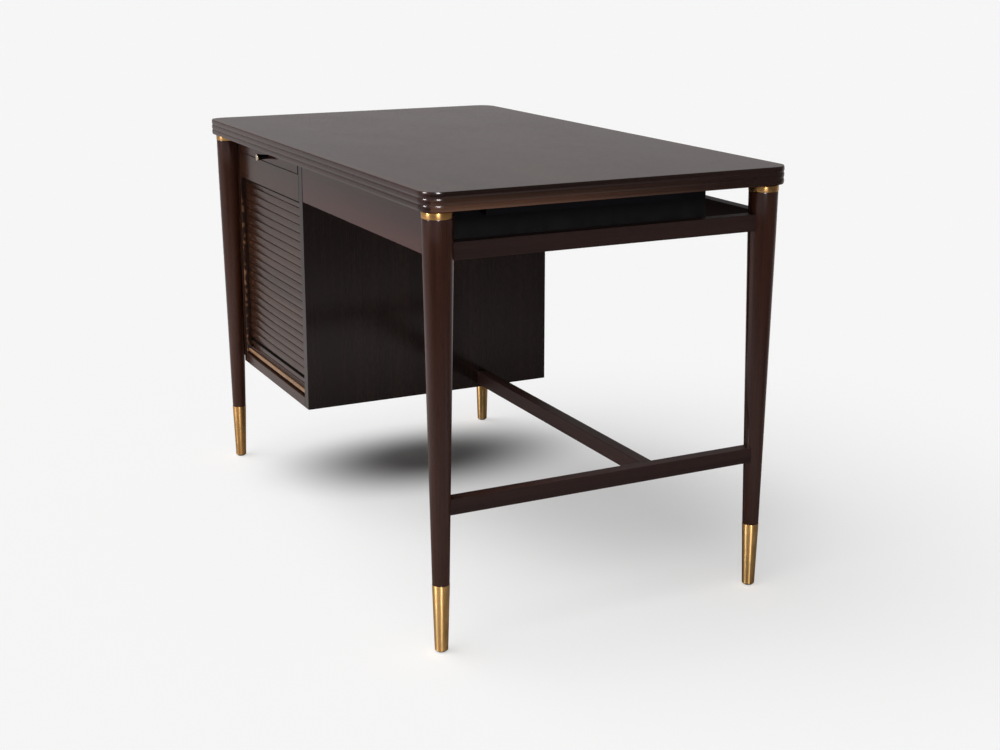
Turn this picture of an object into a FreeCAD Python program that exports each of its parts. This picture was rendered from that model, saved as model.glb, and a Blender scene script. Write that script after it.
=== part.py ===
import FreeCAD, Part
import os
import re
import Sketcher

# Tambour desk in millimetres: a floating top with a reeded edge on four turned legs, a pedestal with a
# tambour front and a writing slide, and a centre drawer over the kneehole. +Z is up, the sitter's side
# faces -Y, the pedestal stands at -X, and the origin is on the floor under the middle of the top.

SIZES = (
    # top
    ("top_length", 1140, "top from end to end"),
    ("top_depth", 656, "top from front to back"),
    ("desk_height", 740, "floor to writing surface"),
    ("top_thickness", 30, "top's edge"),
    ("corner_radius", 33, "top's corners in plan"),
    ("lip_width", 12, "edge moulding in plan"),
    ("bead_count", 3, "beads on the edge moulding"),
    ("bead_quirk", 0.3, "half of the flat between two beads"),
    ("bead_depth", 0.9, "beads in front of those flats"),
    # legs and their brass
    ("leg_inset", 33, "leg axis in from the top's edges"),
    ("leg_top_diameter", 49, "leg under its collar"),
    ("leg_shoulder_diameter", 47.2, "leg where the straight taper begins"),
    ("leg_swell_height", 75, "slighter taper between that and the collar"),
    ("leg_foot_diameter", 27.8, "leg above its ferrule"),
    ("neck_diameter", 45, "leg inside and above its collar"),
    ("collar_diameter", 50, "brass collar"),
    ("collar_height", 11, "brass collar"),
    ("collar_drop", 2, "collar below the top's underside"),
    ("collar_chamfer", 1, "collar's edges"),
    ("ferrule_height", 111, "brass ferrule"),
    ("ferrule_top_diameter", 28.6, "brass ferrule's upper end"),
    ("ferrule_foot_diameter", 21.6, "brass ferrule's lower end"),
    ("ferrule_wall", 1.2, "brass ferrule"),
    ("glide_height", 3, "glide under the ferrule"),
    ("glide_diameter", 19, "glide against the ferrule"),
    ("glide_flat_diameter", 12.5, "glide on the floor"),
    ("glide_round", 10, "glide's domed edge"),
    ("glide_stem_diameter", 4, "glide's nail"),
    ("glide_stem_length", 24, "glide's nail"),
    ("bolt_diameter", 8, "hanger bolts between legs and top"),
    ("bolt_grip", 42, "hanger bolt in the leg"),
    ("bolt_reach", 16, "hanger bolt in the top"),
    # joinery
    ("fit_gap", 0.1, "clearance in glued joints and bores"),
    ("running_gap", 0.4, "clearance of what slides"),
    ("arris", 1, "rounding of the boards' edges"),
    ("overrun", 5, "how far cutting shapes pass their piece"),
    ("tenon_thickness", 8, "tenons of rails and stretchers"),
    ("tenon_shoulder", 4, "shoulder above and below a tenon"),
    ("rail_tenon_end", 10, "leg axis to the end of a rail's tenon"),
    ("stretcher_tenon_end", 4, "leg axis to the end of a stretcher's tenon"),
    # rails, end panel and stretchers
    ("rail_thickness", 22, "rails and stretchers in plan"),
    ("rail_height", 28, "upper rails"),
    ("rail_drop", 50, "top's underside to the upper rails"),
    ("rear_rail_height", 35, "rear rail"),
    ("rear_rail_lift", 3, "rear rail above the end rail"),
    ("stretcher_height", 26, "low stretchers"),
    ("stretcher_rise", 229, "floor to the low stretchers"),
    ("stretcher_offset", 85, "centre stretcher behind the desk's middle"),
    ("centre_tenon_length", 12, "centre stretcher's tenon in the end stretcher"),
    ("end_panel_thickness", 20, "panel between the left legs"),
    ("stretcher_screw_diameter", 5, "screws from the pedestal into the centre stretcher"),
    ("stretcher_screw_reach", 30, "those screws in the stretcher"),
    ("stretcher_screw_spacing", 12, "from one of those screws to the other"),
    # pedestal
    ("pedestal_width", 410, "pedestal outside"),
    ("pedestal_setback", 100, "top's back edge to the pedestal's back"),
    ("pedestal_leg_gap", 27, "left legs' axis to the pedestal"),
    ("pedestal_rise", 222, "floor to the pedestal"),
    ("front_setback", 42, "top's front edge to the pedestal's and drawer's front"),
    ("side_thickness", 20, "pedestal sides"),
    ("floor_thickness", 20, "pedestal floor"),
    ("back_thickness", 12, "pedestal back and drawer case back"),
    ("header_height", 51.9, "fixed header over the tambour"),
    ("header_thickness", 8.5, "fixed header"),
    ("ceiling_thickness", 8, "board under the curtain's run"),
    ("ceiling_gap", 3, "curtain to that board"),
    ("shelf_thickness", 16, "shelf"),
    ("shelf_rise", 430, "floor to the shelf"),
    ("shelf_setback", 54.5, "slats to the shelf's front"),
    ("shelf_end_gap", 1, "shelf to the pedestal sides"),
    ("pin_diameter", 6, "shelf pins"),
    ("pin_bore", 9, "shelf pins in the sides"),
    ("pin_reach", 9, "shelf pins under the shelf"),
    ("pin_inset", 46, "shelf pins in from the shelf's edges"),
    ("batten_height", 30, "battens to the end panel"),
    ("batten_margin", 57, "battens in from the pedestal's front and back"),
    ("batten_inset", 70, "battens in from the end panel's lower and upper edges"),
    # tambour
    ("reveal", 9.5, "curtain behind the pedestal's front"),
    ("slat_count", 21, "slats of the curtain"),
    ("slat_gap", 0.8, "from one slat to the next"),
    ("slat_thickness", 8, "slats"),
    ("slat_crown", 1, "slats' edges behind the middle of their faces"),
    ("slat_face_radius", 34, "slats' crowned faces"),
    ("tongue_thickness", 5, "slat ends in the tracks"),
    ("tongue_length", 7.5, "slat ends in the tracks"),
    ("slat_end_gap", 1, "slat to the pedestal side"),
    ("track_width", 6, "routed tracks"),
    ("track_depth", 8.5, "routed tracks"),
    ("track_bend", 28, "tracks' bend at the header"),
    ("track_end_gap", 80, "tracks' end to the pedestal's back"),
    ("canvas_thickness", 1, "canvas behind the slats"),
    ("curtain_overlap", 0.5, "curtain above the header's lower edge"),
    ("lead_height", 34, "lead bar"),
    ("lead_gap", 0.8, "lead bar to the floor and to the slats"),
    ("lead_undercut", 3.5, "lead bar's rebate under its finger lip"),
    ("lead_lip_height", 7.5, "lead bar's finger lip"),
    ("lead_lip_reach", 6, "finger lip in front of the slats"),
    ("cove_height", 10, "lead bar's finger cove"),
    ("cove_radius", 5.5, "lead bar's finger cove"),
    ("lead_groove_height", 5, "rebate along the lead bar's upper edge"),
    ("lead_groove_depth", 5, "rebate along the lead bar's upper edge"),
    # writing slide
    ("slide_headroom", 11.5, "top's underside to the slide"),
    ("slide_thickness", 22, "slide"),
    ("slide_back_gap", 56, "slide to the pedestal's back"),
    ("slide_travel", 300, "how far the slide pulls out"),
    ("slide_gap", 0.6, "slide to the header"),
    ("slide_end_gap", 1, "slide to the pedestal sides"),
    ("slide_slot", 4, "slide's lip to the pedestal sides"),
    ("slide_lip_depth", 20, "slide's front lip"),
    ("stop_diameter", 8, "stop dowels under the slide"),
    ("stop_drop", 9, "stop dowels below the slide"),
    ("stop_bore", 12, "stop dowels in the slide"),
    ("stop_spacing", 176, "from one stop dowel to the other"),
    ("runner_width", 14, "slide's runners and kickers"),
    ("runner_height", 12, "slide's runners"),
    ("pull_length", 22, "pull with its cap"),
    ("pull_diameter", 13.5, "pull's outer end"),
    ("pull_neck_diameter", 8.5, "pull at the slide"),
    ("pull_neck_length", 3, "pull's straight neck"),
    ("pull_flare_radius", 40, "curve of the pull's flare"),
    ("pull_cap_thickness", 2.5, "pull's brass cap"),
    ("pull_cap_chamfer", 0.8, "pull's brass cap"),
    ("pull_screw_diameter", 4, "pull's screw"),
    ("pull_screw_grip", 12, "pull's screw in the lip"),
    ("pull_screw_reach", 12, "pull's screw in the pull"),
    # centre drawer and its case
    ("drawer_front_height", 80, "drawer front"),
    ("drawer_front_thickness", 18, "drawer front"),
    ("drawer_front_gap", 3, "drawer front to the top"),
    ("drawer_end_gap", 1.5, "drawer front to the pedestal"),
    ("drawer_leg_gap", 2, "drawer front to the leg's collar"),
    ("drawer_box_drop", 7, "drawer front's top to the drawer box"),
    ("drawer_box_height", 56, "drawer box"),
    ("drawer_back_gap", 11, "drawer box to the back of its case"),
    ("drawer_side_thickness", 12, "drawer sides and back"),
    ("drawer_side_gap", 2, "drawer sides to the case"),
    ("drawer_bottom_thickness", 6, "drawer bottom"),
    ("drawer_bottom_rise", 6, "drawer bottom above the sides' lower edges"),
    ("drawer_groove_depth", 5, "grooves for the drawer bottom"),
    ("drawer_runner_height", 14, "drawer runners"),
    ("drawer_runner_bite", 4, "drawer runners in the sides"),
    ("drawer_runner_front", 8, "drawer runners behind the drawer front"),
    ("case_thickness", 18, "drawer case side"),
    ("case_leg_gap", 32, "right legs' axis to the drawer case"),
    ("case_setback", 125, "top's back edge to the drawer case's back"),
    ("case_height", 78, "drawer case"),
    ("case_front_gap", 1, "drawer front to the case side"),
    ("cleat_size", 18, "cleat between case side and top"),
    ("cleat_margin", 60, "cleat in from the case side's ends"),
)

# Places worked out from the sizes, in words that later places use.
PLACES = {
    "half_length": "top_length / 2",
    "half_depth": "top_depth / 2",
    "underside": "desk_height - top_thickness",
    "bead_pitch": "top_thickness / bead_count",
    "bead_half": "bead_pitch / 2 - bead_quirk",
    "bead_radius": "(bead_half * bead_half + bead_depth * bead_depth) / (2 * bead_depth)",
    "corner_x": "half_length - corner_radius",
    "corner_y": "half_depth - corner_radius",
    "leg_x": "half_length - leg_inset",
    "leg_y": "half_depth - leg_inset",
    "ferrule_top": "glide_height + ferrule_height",
    "ferrule_slope": "(ferrule_top_diameter - ferrule_foot_diameter) / ferrule_height / 2",
    "sleeve_top": "ferrule_top_diameter / 2 - ferrule_wall",
    "sleeve_foot": "ferrule_foot_diameter / 2 + ferrule_slope * ferrule_wall - ferrule_wall",
    "sleeve_rise": "glide_height + ferrule_wall",
    "collar_top": "underside - collar_drop",
    "collar_foot": "collar_top - collar_height",
    "leg_shoulder": "collar_foot - leg_swell_height",
    "rail_top": "underside - rail_drop",
    "rail_rise": "rail_top - rail_height",
    "rear_rail_top": "rail_top + rear_rail_lift",
    "rear_rail_rise": "rear_rail_top - rear_rail_height",
    "stretcher_top": "stretcher_rise + stretcher_height",
    "front": "front_setback - half_depth",
    "pedestal_left": "pedestal_leg_gap - leg_x",
    "pedestal_right": "pedestal_left + pedestal_width",
    "pedestal_back": "half_depth - pedestal_setback",
    "opening_left": "pedestal_left + side_thickness",
    "opening_right": "pedestal_right - side_thickness",
    "opening_middle": "(opening_left + opening_right) / 2",
    "inside_back": "pedestal_back - back_thickness",
    "floor_top": "pedestal_rise + floor_thickness",
    "slide_top": "underside - slide_headroom",
    "slide_foot": "slide_top - slide_thickness",
    "slide_middle": "(slide_top + slide_foot) / 2",
    "header_top": "slide_foot - slide_gap",
    "header_foot": "header_top - header_height",
    "slat_front": "front + reveal",
    "slat_back": "slat_front + slat_thickness",
    "tongue_inset": "(slat_thickness - tongue_thickness) / 2",
    "track_line": "slat_front + slat_thickness / 2",
    "track_centre": "track_line + track_bend",
    "track_run": "header_foot + track_bend",
    "lead_foot": "floor_top + lead_gap",
    "lead_top": "lead_foot + lead_height",
    "curtain_foot": "lead_top + lead_gap",
    "curtain_top": "header_foot + curtain_overlap",
    "slat_pitch": "(curtain_top - curtain_foot) / slat_count",
    "slat_height": "slat_pitch - slat_gap",
    "track_end": "inside_back - track_end_gap",
    "ceiling_top": "track_run - slat_thickness / 2 - ceiling_gap",
    "shelf_front": "slat_back + shelf_setback",
    "case_right": "leg_x - case_leg_gap",
    "case_inner": "case_right - case_thickness",
    "case_end": "half_depth - case_setback",
    "case_foot": "underside - case_height",
    "case_inside_back": "case_end - back_thickness",
    "drawer_left": "pedestal_right + drawer_end_gap",
    "drawer_right": "leg_x - collar_diameter / 2 - drawer_leg_gap",
    "drawer_front_top": "underside - drawer_front_gap",
    "drawer_front_foot": "drawer_front_top - drawer_front_height",
    "box_left": "pedestal_right + drawer_side_gap",
    "box_right": "case_inner - drawer_side_gap",
    "box_front": "front + drawer_front_thickness",
    "box_back": "case_inside_back - drawer_back_gap",
    "box_top": "drawer_front_top - drawer_box_drop",
    "box_foot": "box_top - drawer_box_height",
    "bottom_foot": "box_foot + drawer_bottom_rise",
    "bottom_top": "bottom_foot + drawer_bottom_thickness",
    "runner_foot": "box_foot + (drawer_box_height - drawer_runner_height) / 2",
    "runner_top": "runner_foot + drawer_runner_height",
}
WORD = re.compile(r"[a-z][a-z_]+")
ENDS = {"right": 1, "left": -1}
SIDES = {"front": -1, "back": 1}
FULL_TURN = 360
QUARTER_TURN = 90
EIGHTH_TURN = 45

doc = FreeCAD.newDocument("tambour_desk")
sheet = doc.addObject("Spreadsheet::Sheet", "Dims")
for row, (alias, value, meaning) in enumerate(SIZES, 1):
    sheet.set(f"A{row}", meaning)
    sheet.set(f"B{row}", str(value))
    sheet.setAlias(f"B{row}", alias)
doc.recompute()
nodes = {}


def sized(text):
    """The expression with places written out and each size read from its cell in the sheet."""
    def cell(found):
        word = found.group()
        return f"({sized(PLACES[word])})" if word in PLACES else f"Dims.{word}"
    return WORD.sub(cell, str(text))


def bind(thing, name, text):
    """Ties one property of a document object to the sheet."""
    thing.setExpression(name, sized(text))


def seat(thing, x, y, z, turn=None):
    """Puts an object at a place that follows the sheet, turned by a fixed rotation."""
    if turn:
        thing.Placement = FreeCAD.Placement(FreeCAD.Vector(), turn)
    for axis, text in zip("xyz", (x, y, z)):
        bind(thing, f"Placement.Base.{axis}", text)


def node(label, thing):
    """Marks a finished object as a piece of the desk."""
    thing.Label = label
    nodes[label] = thing
    return thing


def around(middle, size):
    """The span of a size that is centred on a place."""
    return f"{middle} - ({size}) / 2", f"{middle} + ({size}) / 2"


def beside(place, way, near, far):
    """The span from near to far on the side of a place that way, 1 or -1, points to."""
    if way > 0:
        return f"{place} + {near}", f"{place} + {far}"
    return f"{place} - ({far})", f"{place} - ({near})"


def block(name, x, y, z):
    """A plain box between three spans."""
    box = doc.addObject("Part::Box", name)
    for side, (low, high) in zip(("Length", "Width", "Height"), (x, y, z)):
        bind(box, side, f"({high}) - ({low})")
    seat(box, x[0], y[0], z[0])
    return box


def board(name, x, y, z):
    """A wooden board between three spans, with its edges eased."""
    body = doc.addObject("PartDesign::Body", name)
    box = body.newObject("PartDesign::AdditiveBox", f"{name}_box")
    for side, (low, high) in zip(("Length", "Width", "Height"), (x, y, z)):
        bind(box, side, f"({high}) - ({low})")
    doc.recompute()
    ease = body.newObject("PartDesign::Fillet", f"{name}_ease")
    ease.Base = (box, ["Edge1"])
    ease.UseAllEdges = True
    bind(ease, "Radius", "arris")
    body.Tip = ease
    seat(body, x[0], y[0], z[0])
    return body


def rod(name, diameter, length, x, y, z, turn=None, angle=FULL_TURN):
    """A cylinder, or a sector of one, that stands on its place along Z before it is turned."""
    cylinder = doc.addObject("Part::Cylinder", name)
    bind(cylinder, "Radius", f"({diameter}) / 2")
    bind(cylinder, "Height", length)
    cylinder.Angle = angle
    seat(cylinder, x, y, z, turn)
    return cylinder


def joined(name, things):
    """Several objects fused into one."""
    fuse = doc.addObject("Part::MultiFuse", name)
    fuse.Shapes = list(things)
    return fuse


def group(name, things):
    """Several separate solids in one node."""
    compound = doc.addObject("Part::Compound", name)
    compound.Links = list(things)
    return compound


def cut(name, base, *tools):
    """The base less all the tools."""
    result = doc.addObject("Part::Cut", name)
    result.Base = base
    result.Tool = tools[0] if len(tools) == 1 else joined(f"{name}_cutters", tools)
    return result


def origin_plane(body, role):
    """One of a body's own origin planes."""
    return next(plane for plane in body.Origin.OriginFeatures if plane.Role == role)


def arc_between(start, end, radius, side):
    """The short arc between two points that bulges to the right (1) or left (-1) of the way along it."""
    chord = end - start
    half = chord.Length / 2
    rise = radius - max(radius ** 2 - half ** 2, 0) ** 0.5
    normal = FreeCAD.Vector(chord.y, -chord.x, 0).normalize()
    return Part.Arc(start, start + chord * 0.5 + normal * (rise * side), end)


def outline(body, name, role, corners, arcs=None):
    """A closed sketch through corners given as pairs of expressions, none of them negative.

    arcs holds, for a corner's number, the radius and side of the arc from it to the next corner."""
    arcs = arcs or {}
    sketch = body.newObject("Sketcher::SketchObject", name)
    sketch.AttachmentSupport = (origin_plane(body, role), [""])
    sketch.MapMode = "FlatFace"
    points = [FreeCAD.Vector(*(sheet.evalExpression(sized(text)) for text in pair), 0) for pair in corners]
    starts = []
    ends = []
    for number, start in enumerate(points):
        end = points[(number + 1) % len(points)]
        if number in arcs:
            radius, side = arcs[number]
            curve = arc_between(start, end, sheet.evalExpression(sized(radius)), side)
        else:
            curve = Part.LineSegment(start, end)
        edge = sketch.addGeometry(curve)
        forward = (sketch.getPoint(edge, 1) - start).Length < (sketch.getPoint(edge, 2) - start).Length
        starts.append((edge, 1 if forward else 2))
        ends.append((edge, 2 if forward else 1))
    for number, (across, up) in enumerate(corners):
        sketch.addConstraint(Sketcher.Constraint("Coincident", *ends[number - 1], *starts[number]))
        for kind, text, axis in (("DistanceX", across, -2), ("DistanceY", up, -1)):
            if str(text) == "0":
                sketch.addConstraint(Sketcher.Constraint("PointOnObject", *starts[number], axis))
                continue
            size = sheet.evalExpression(sized(text))
            index = sketch.addConstraint(Sketcher.Constraint(kind, -1, 1, *starts[number], size))
            bind(sketch, f"Constraints[{index}]", text)
    for number, (radius, side) in arcs.items():
        size = sheet.evalExpression(sized(radius))
        index = sketch.addConstraint(Sketcher.Constraint("Radius", starts[number][0], size))
        bind(sketch, f"Constraints[{index}]", radius)
    return sketch


def turned(name, corners, arcs=None):
    """A piece turned on the lathe: corners are pairs of radius and height."""
    body = doc.addObject("PartDesign::Body", name)
    sketch = outline(body, f"{name}_outline", "XZ_Plane", corners, arcs)
    spin = body.newObject("PartDesign::Revolution", f"{name}_spin")
    spin.Profile = sketch
    spin.ReferenceAxis = (sketch, ["V_Axis"])
    spin.Angle = FULL_TURN
    body.Tip = spin
    return body


def moulded(body, name, corners, length, start="0", arcs=None):
    """A length along X of an outline drawn in depth and height."""
    sketch = outline(body, f"{name}_outline", "YZ_Plane", corners, arcs)
    bind(sketch, "AttachmentOffset.Base.z", start)
    pad = body.newObject("PartDesign::Pad", name)
    pad.Profile = sketch
    bind(pad, "Length", length)
    body.Tip = pad
    return pad


# Turns that lay an upright shape along X or point it at the sitter.
ALONG_X = FreeCAD.Rotation(FreeCAD.Vector(0, 0, 1), FreeCAD.Vector(0, -1, 0), FreeCAD.Vector(1, 0, 0), "XYZ")
TO_SITTER = FreeCAD.Rotation(FreeCAD.Vector(1, 0, 0), QUARTER_TURN)
DIAGONAL = FreeCAD.Rotation(FreeCAD.Vector(0, 0, 1), EIGHTH_TURN)


def make_top():
    """Core panel with rounded corners and bores for the legs' bolts."""
    core = doc.addObject("PartDesign::Body", "top_core")
    box = core.newObject("PartDesign::AdditiveBox", "top_core_box")
    bind(box, "Length", "top_length - 2 * lip_width")
    bind(box, "Width", "top_depth - 2 * lip_width")
    bind(box, "Height", "top_thickness")
    doc.recompute()
    upright = [f"Edge{number}" for number, edge in enumerate(box.Shape.Edges, 1)
               if abs(edge.tangentAt(edge.FirstParameter).z) > abs(edge.tangentAt(edge.FirstParameter).x)
               + abs(edge.tangentAt(edge.FirstParameter).y)]
    corners = core.newObject("PartDesign::Fillet", "top_core_corners")
    corners.Base = (box, upright)
    bind(corners, "Radius", "corner_radius - lip_width")
    core.Tip = corners
    seat(core, "lip_width - half_length", "lip_width - half_depth", "underside")
    bores = [rod(f"top_bore_{end}_{side}", "bolt_diameter + 2 * fit_gap", "bolt_reach + fit_gap + overrun",
                 f"{ENDS[end]} * leg_x", f"{SIDES[side]} * leg_y", "underside - overrun")
             for end in ENDS for side in SIDES]
    node("top_panel", cut("top_panel", core, *bores))


def make_moulding(side, quarter, x, y, run):
    """One reeded edge moulding, drawn outward from a corner's axis, with half of each rounded corner."""
    name = f"top_edge_{side}"
    body = doc.addObject("PartDesign::Body", name)
    inner, flat = "corner_radius - lip_width", "corner_radius - bead_depth"
    corners = [(inner, "0"), (flat, "0")]
    beads = {}
    for bead in range(int(sheet.bead_count)):
        beads[len(corners)] = ("bead_radius", 1)
        corners += [(flat, f"bead_pitch * {bead} + bead_quirk"), (flat, f"bead_pitch * ({bead} + 1) - bead_quirk")]
    corners += [(flat, "top_thickness"), (inner, "top_thickness")]
    length = f"2 * {run}"
    straight = moulded(body, f"{name}_straight", corners, length, arcs=beads)
    far = outline(body, f"{name}_far", "YZ_Plane", corners, beads)
    bind(far, "AttachmentOffset.Base.z", length)
    for sketch, backwards in ((straight.Profile[0], False), (far, True)):
        corner = body.newObject("PartDesign::Revolution", f"{name}_corner")
        corner.Profile = sketch
        corner.ReferenceAxis = (sketch, ["V_Axis"])
        corner.Angle = EIGHTH_TURN
        corner.Reversed = backwards
        body.Tip = corner
    seat(body, x, y, "underside", FreeCAD.Rotation(FreeCAD.Vector(0, 0, 1), quarter * QUARTER_TURN))
    node(name, body)


def leg_corners(extra):
    """The leg's tapered outside from ferrule to collar, larger all round by extra."""
    return [(f"leg_foot_diameter / 2 + {extra}", "ferrule_top"),
            (f"leg_shoulder_diameter / 2 + {extra}", "leg_shoulder"),
            (f"leg_top_diameter / 2 + {extra}", "collar_foot")]


def leg_envelope(end, side):
    """The room that a leg takes up, for shaping the ends of what meets it."""
    name = f"envelope_{end}_{side}"
    tapered = leg_corners("fit_gap")
    body = turned(name, [("0", "ferrule_top"), *tapered, ("0", "collar_foot")])
    seat(body, f"{ENDS[end]} * leg_x", f"{SIDES[side]} * leg_y", "0", DIAGONAL)
    return body


def tenon_heights(rise, top, play="0"):
    """The span in height of a tenon between its shoulders, or of its mortise with play."""
    return f"{rise} + tenon_shoulder - {play}", f"{top} - tenon_shoulder + {play}"


def tenon(name, end, side, level, along_x=False, play="0"):
    """A tenon that reaches from inside a leg into the rail or stretcher, or its mortise with play."""
    stop = f"{level}_tenon_end - {play}"
    thick = f"tenon_thickness + 2 * {play}"
    way_x, way_y = ENDS[end], SIDES[side]
    heights = tenon_heights(f"{level}_rise", f"{level}_top", play)
    if along_x:
        return block(name, beside(f"{way_x} * leg_x", -way_x, stop, "leg_top_diameter"),
                     around(f"{way_y} * leg_y", thick), heights)
    return block(name, around(f"{way_x} * leg_x", thick),
                 beside(f"{way_y} * leg_y", -way_y, stop, "leg_top_diameter"), heights)


def make_leg(end, side):
    """A turned leg with its mortises, collar, ferrule and glide."""
    name = f"leg_{side}_{end}"
    x, y = f"{ENDS[end]} * leg_x", f"{SIDES[side]} * leg_y"
    stem = "glide_stem_diameter / 2 + fit_gap"
    spigot_foot = "sleeve_rise + fit_gap"
    corners = [(stem, spigot_foot), ("sleeve_foot - fit_gap", spigot_foot), ("sleeve_top - fit_gap", "ferrule_top"),
               *leg_corners("0"), ("neck_diameter / 2", "collar_foot"), ("neck_diameter / 2", "underside"),
               ("0", "underside"), ("0", "glide_height + glide_stem_length + fit_gap"),
               (stem, "glide_height + glide_stem_length + fit_gap")]
    blank = turned(f"{name}_blank", corners)
    seat(blank, x, y, "0", DIAGONAL)
    cutters = [tenon(f"{name}_mortise_{level}", end, side, level, play="fit_gap")
               for level in ("rail", "stretcher")]
    if side == "back":
        cutters.append(tenon(f"{name}_mortise_rear", end, side, "rail", True, "fit_gap"))
    cutters.append(rod(f"{name}_bore", "bolt_diameter + 2 * fit_gap", "bolt_grip + fit_gap + overrun",
                       x, y, "underside - bolt_grip - fit_gap"))
    node(name, cut(name, blank, *cutters))

    inside = "neck_diameter / 2 + fit_gap"
    outside = "collar_diameter / 2"
    collar = turned(f"collar_{side}_{end}", [
        (inside, "collar_foot"), (f"{outside} - collar_chamfer", "collar_foot"),
        (outside, "collar_foot + collar_chamfer"), (outside, "collar_top - collar_chamfer"),
        (f"{outside} - collar_chamfer", "collar_top"), (inside, "collar_top")])
    seat(collar, x, y, "0")
    node(f"collar_{side}_{end}", collar)

    ferrule = turned(f"ferrule_{side}_{end}", [
        (stem, "glide_height"), ("ferrule_foot_diameter / 2", "glide_height"),
        ("ferrule_top_diameter / 2", "ferrule_top"), ("sleeve_top", "ferrule_top"),
        ("sleeve_foot", "sleeve_rise"), (stem, "sleeve_rise")])
    seat(ferrule, x, y, "0")
    node(f"ferrule_{side}_{end}", ferrule)

    glide = turned(f"glide_{side}_{end}", [
        ("0", "0"), ("glide_flat_diameter / 2", "0"), ("glide_diameter / 2", "glide_height"),
        ("glide_stem_diameter / 2", "glide_height"), ("glide_stem_diameter / 2", "glide_height + glide_stem_length"),
        ("0", "glide_height + glide_stem_length")], {1: ("glide_round", 1)})
    seat(glide, x, y, "0")
    bolt = rod(f"bolt_{side}_{end}", "bolt_diameter", "bolt_grip + bolt_reach", x, y, "underside - bolt_grip")
    return glide, bolt


def make_frame():
    """Legs, rails, end panel and stretchers."""
    glides, bolts = zip(*[make_leg(end, side) for end in ENDS for side in SIDES])
    node("foot_glides", group("foot_glides", glides))
    node("leg_bolts", group("leg_bolts", bolts))
    legs = {(end, side): leg_envelope(end, side) for end in ENDS for side in SIDES}
    rail_heights = ("rail_rise", "rail_top")
    stretcher_heights = ("stretcher_rise", "stretcher_top")
    between_rails = ("rail_tenon_end - leg_y", "leg_y - rail_tenon_end")
    between_stretchers = ("stretcher_tenon_end - leg_y", "leg_y - stretcher_tenon_end")

    def fitted(name, blank, ends, tenons):
        """A board shaped to the legs that it meets, with its tenons."""
        shaped = cut(f"{name}_shaped", blank, *[legs[key] for key in ends])
        return joined(name, [shaped, *tenons])

    right = [("right", side) for side in SIDES]
    left = [("left", side) for side in SIDES]
    rear = [(end, "back") for end in ENDS]
    rail = board("end_rail_blank", around("leg_x", "rail_thickness"), between_rails, rail_heights)
    node("end_rail_right", fitted("end_rail_right", rail, right, [
        tenon(f"end_rail_tenon_{side}", "right", side, "rail") for side in SIDES]))

    panel = board("end_panel_blank", around("-leg_x", "end_panel_thickness"), between_rails,
                  ("stretcher_rise", "rail_top"))
    node("end_panel_left", fitted("end_panel_left", panel, left, [
        tenon(f"end_panel_tenon_{level}_{side}", "left", side, level)
        for level in ("rail", "stretcher") for side in SIDES]))

    rail = board("rear_rail_blank", ("rail_tenon_end - leg_x", "leg_x - rail_tenon_end"),
                 around("leg_y", "rail_thickness"), ("rear_rail_rise", "rear_rail_top"))
    node("rear_rail", fitted("rear_rail", rail, rear, [
        tenon(f"rear_rail_tenon_{end}", end, "back", "rail", True) for end in ENDS]))

    bar = board("end_stretcher_blank", around("leg_x", "rail_thickness"), between_stretchers,
                stretcher_heights)
    bar = fitted("end_stretcher_tenoned", bar, right, [
        tenon(f"end_stretcher_tenon_{side}", "right", side, "stretcher") for side in SIDES])
    inner_face = "leg_x - rail_thickness / 2"
    mortise = block("end_stretcher_mortise", (f"{inner_face} - overrun", f"{inner_face} + centre_tenon_length + fit_gap"),
                    around("stretcher_offset", "tenon_thickness + 2 * fit_gap"),
                    tenon_heights("stretcher_rise", "stretcher_top", "fit_gap"))
    node("end_stretcher", cut("end_stretcher", bar, mortise))

    bar = board("centre_stretcher_blank", ("pedestal_right", inner_face),
                around("stretcher_offset", "rail_thickness"), stretcher_heights)
    tongue = block("centre_stretcher_tenon", (f"{inner_face} - overrun", f"{inner_face} + centre_tenon_length"),
                   around("stretcher_offset", "tenon_thickness"), tenon_heights("stretcher_rise", "stretcher_top"))
    bar = joined("centre_stretcher_tenoned", [bar, tongue])
    node("centre_stretcher", cut("centre_stretcher", bar, *stretcher_screws("stretcher_bore", "fit_gap")))
    node("stretcher_screws", group("stretcher_screws", stretcher_screws("stretcher_screw", "0")))


def stretcher_screws(name, play):
    """Two screws through the pedestal's right side into the centre stretcher, or their bores with play."""
    middle = "(stretcher_rise + stretcher_top) / 2"
    return [rod(f"{name}_{step}", f"stretcher_screw_diameter + 2 * {play}",
                f"side_thickness + stretcher_screw_reach + {play}", "opening_right", "stretcher_offset",
                f"{middle} + {way} * stretcher_screw_spacing / 2", ALONG_X)
            for step, way in enumerate((-1, 1), 1)]


def track(name, inner_face, way):
    """The routed track in a pedestal side: up the front, round the bend and back."""
    across = beside(inner_face, way, "-overrun", "track_depth")
    length = "track_depth + overrun"
    upright = block(f"{name}_upright", across, around("track_line", "track_width"), ("floor_top", "header_foot"))
    level = block(f"{name}_level", across, ("track_centre", "track_end"), around("track_run", "track_width"))
    outer = rod(f"{name}_bend_outer", "2 * track_bend + track_width", length, across[0], "track_centre",
                "header_foot", ALONG_X, QUARTER_TURN)
    inner = rod(f"{name}_bend_inner", "2 * track_bend - track_width", f"{length} + 2 * overrun",
                f"{across[0]} - overrun", "track_centre", "header_foot", ALONG_X)
    return [upright, level, cut(f"{name}_bend", outer, inner)]


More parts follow.
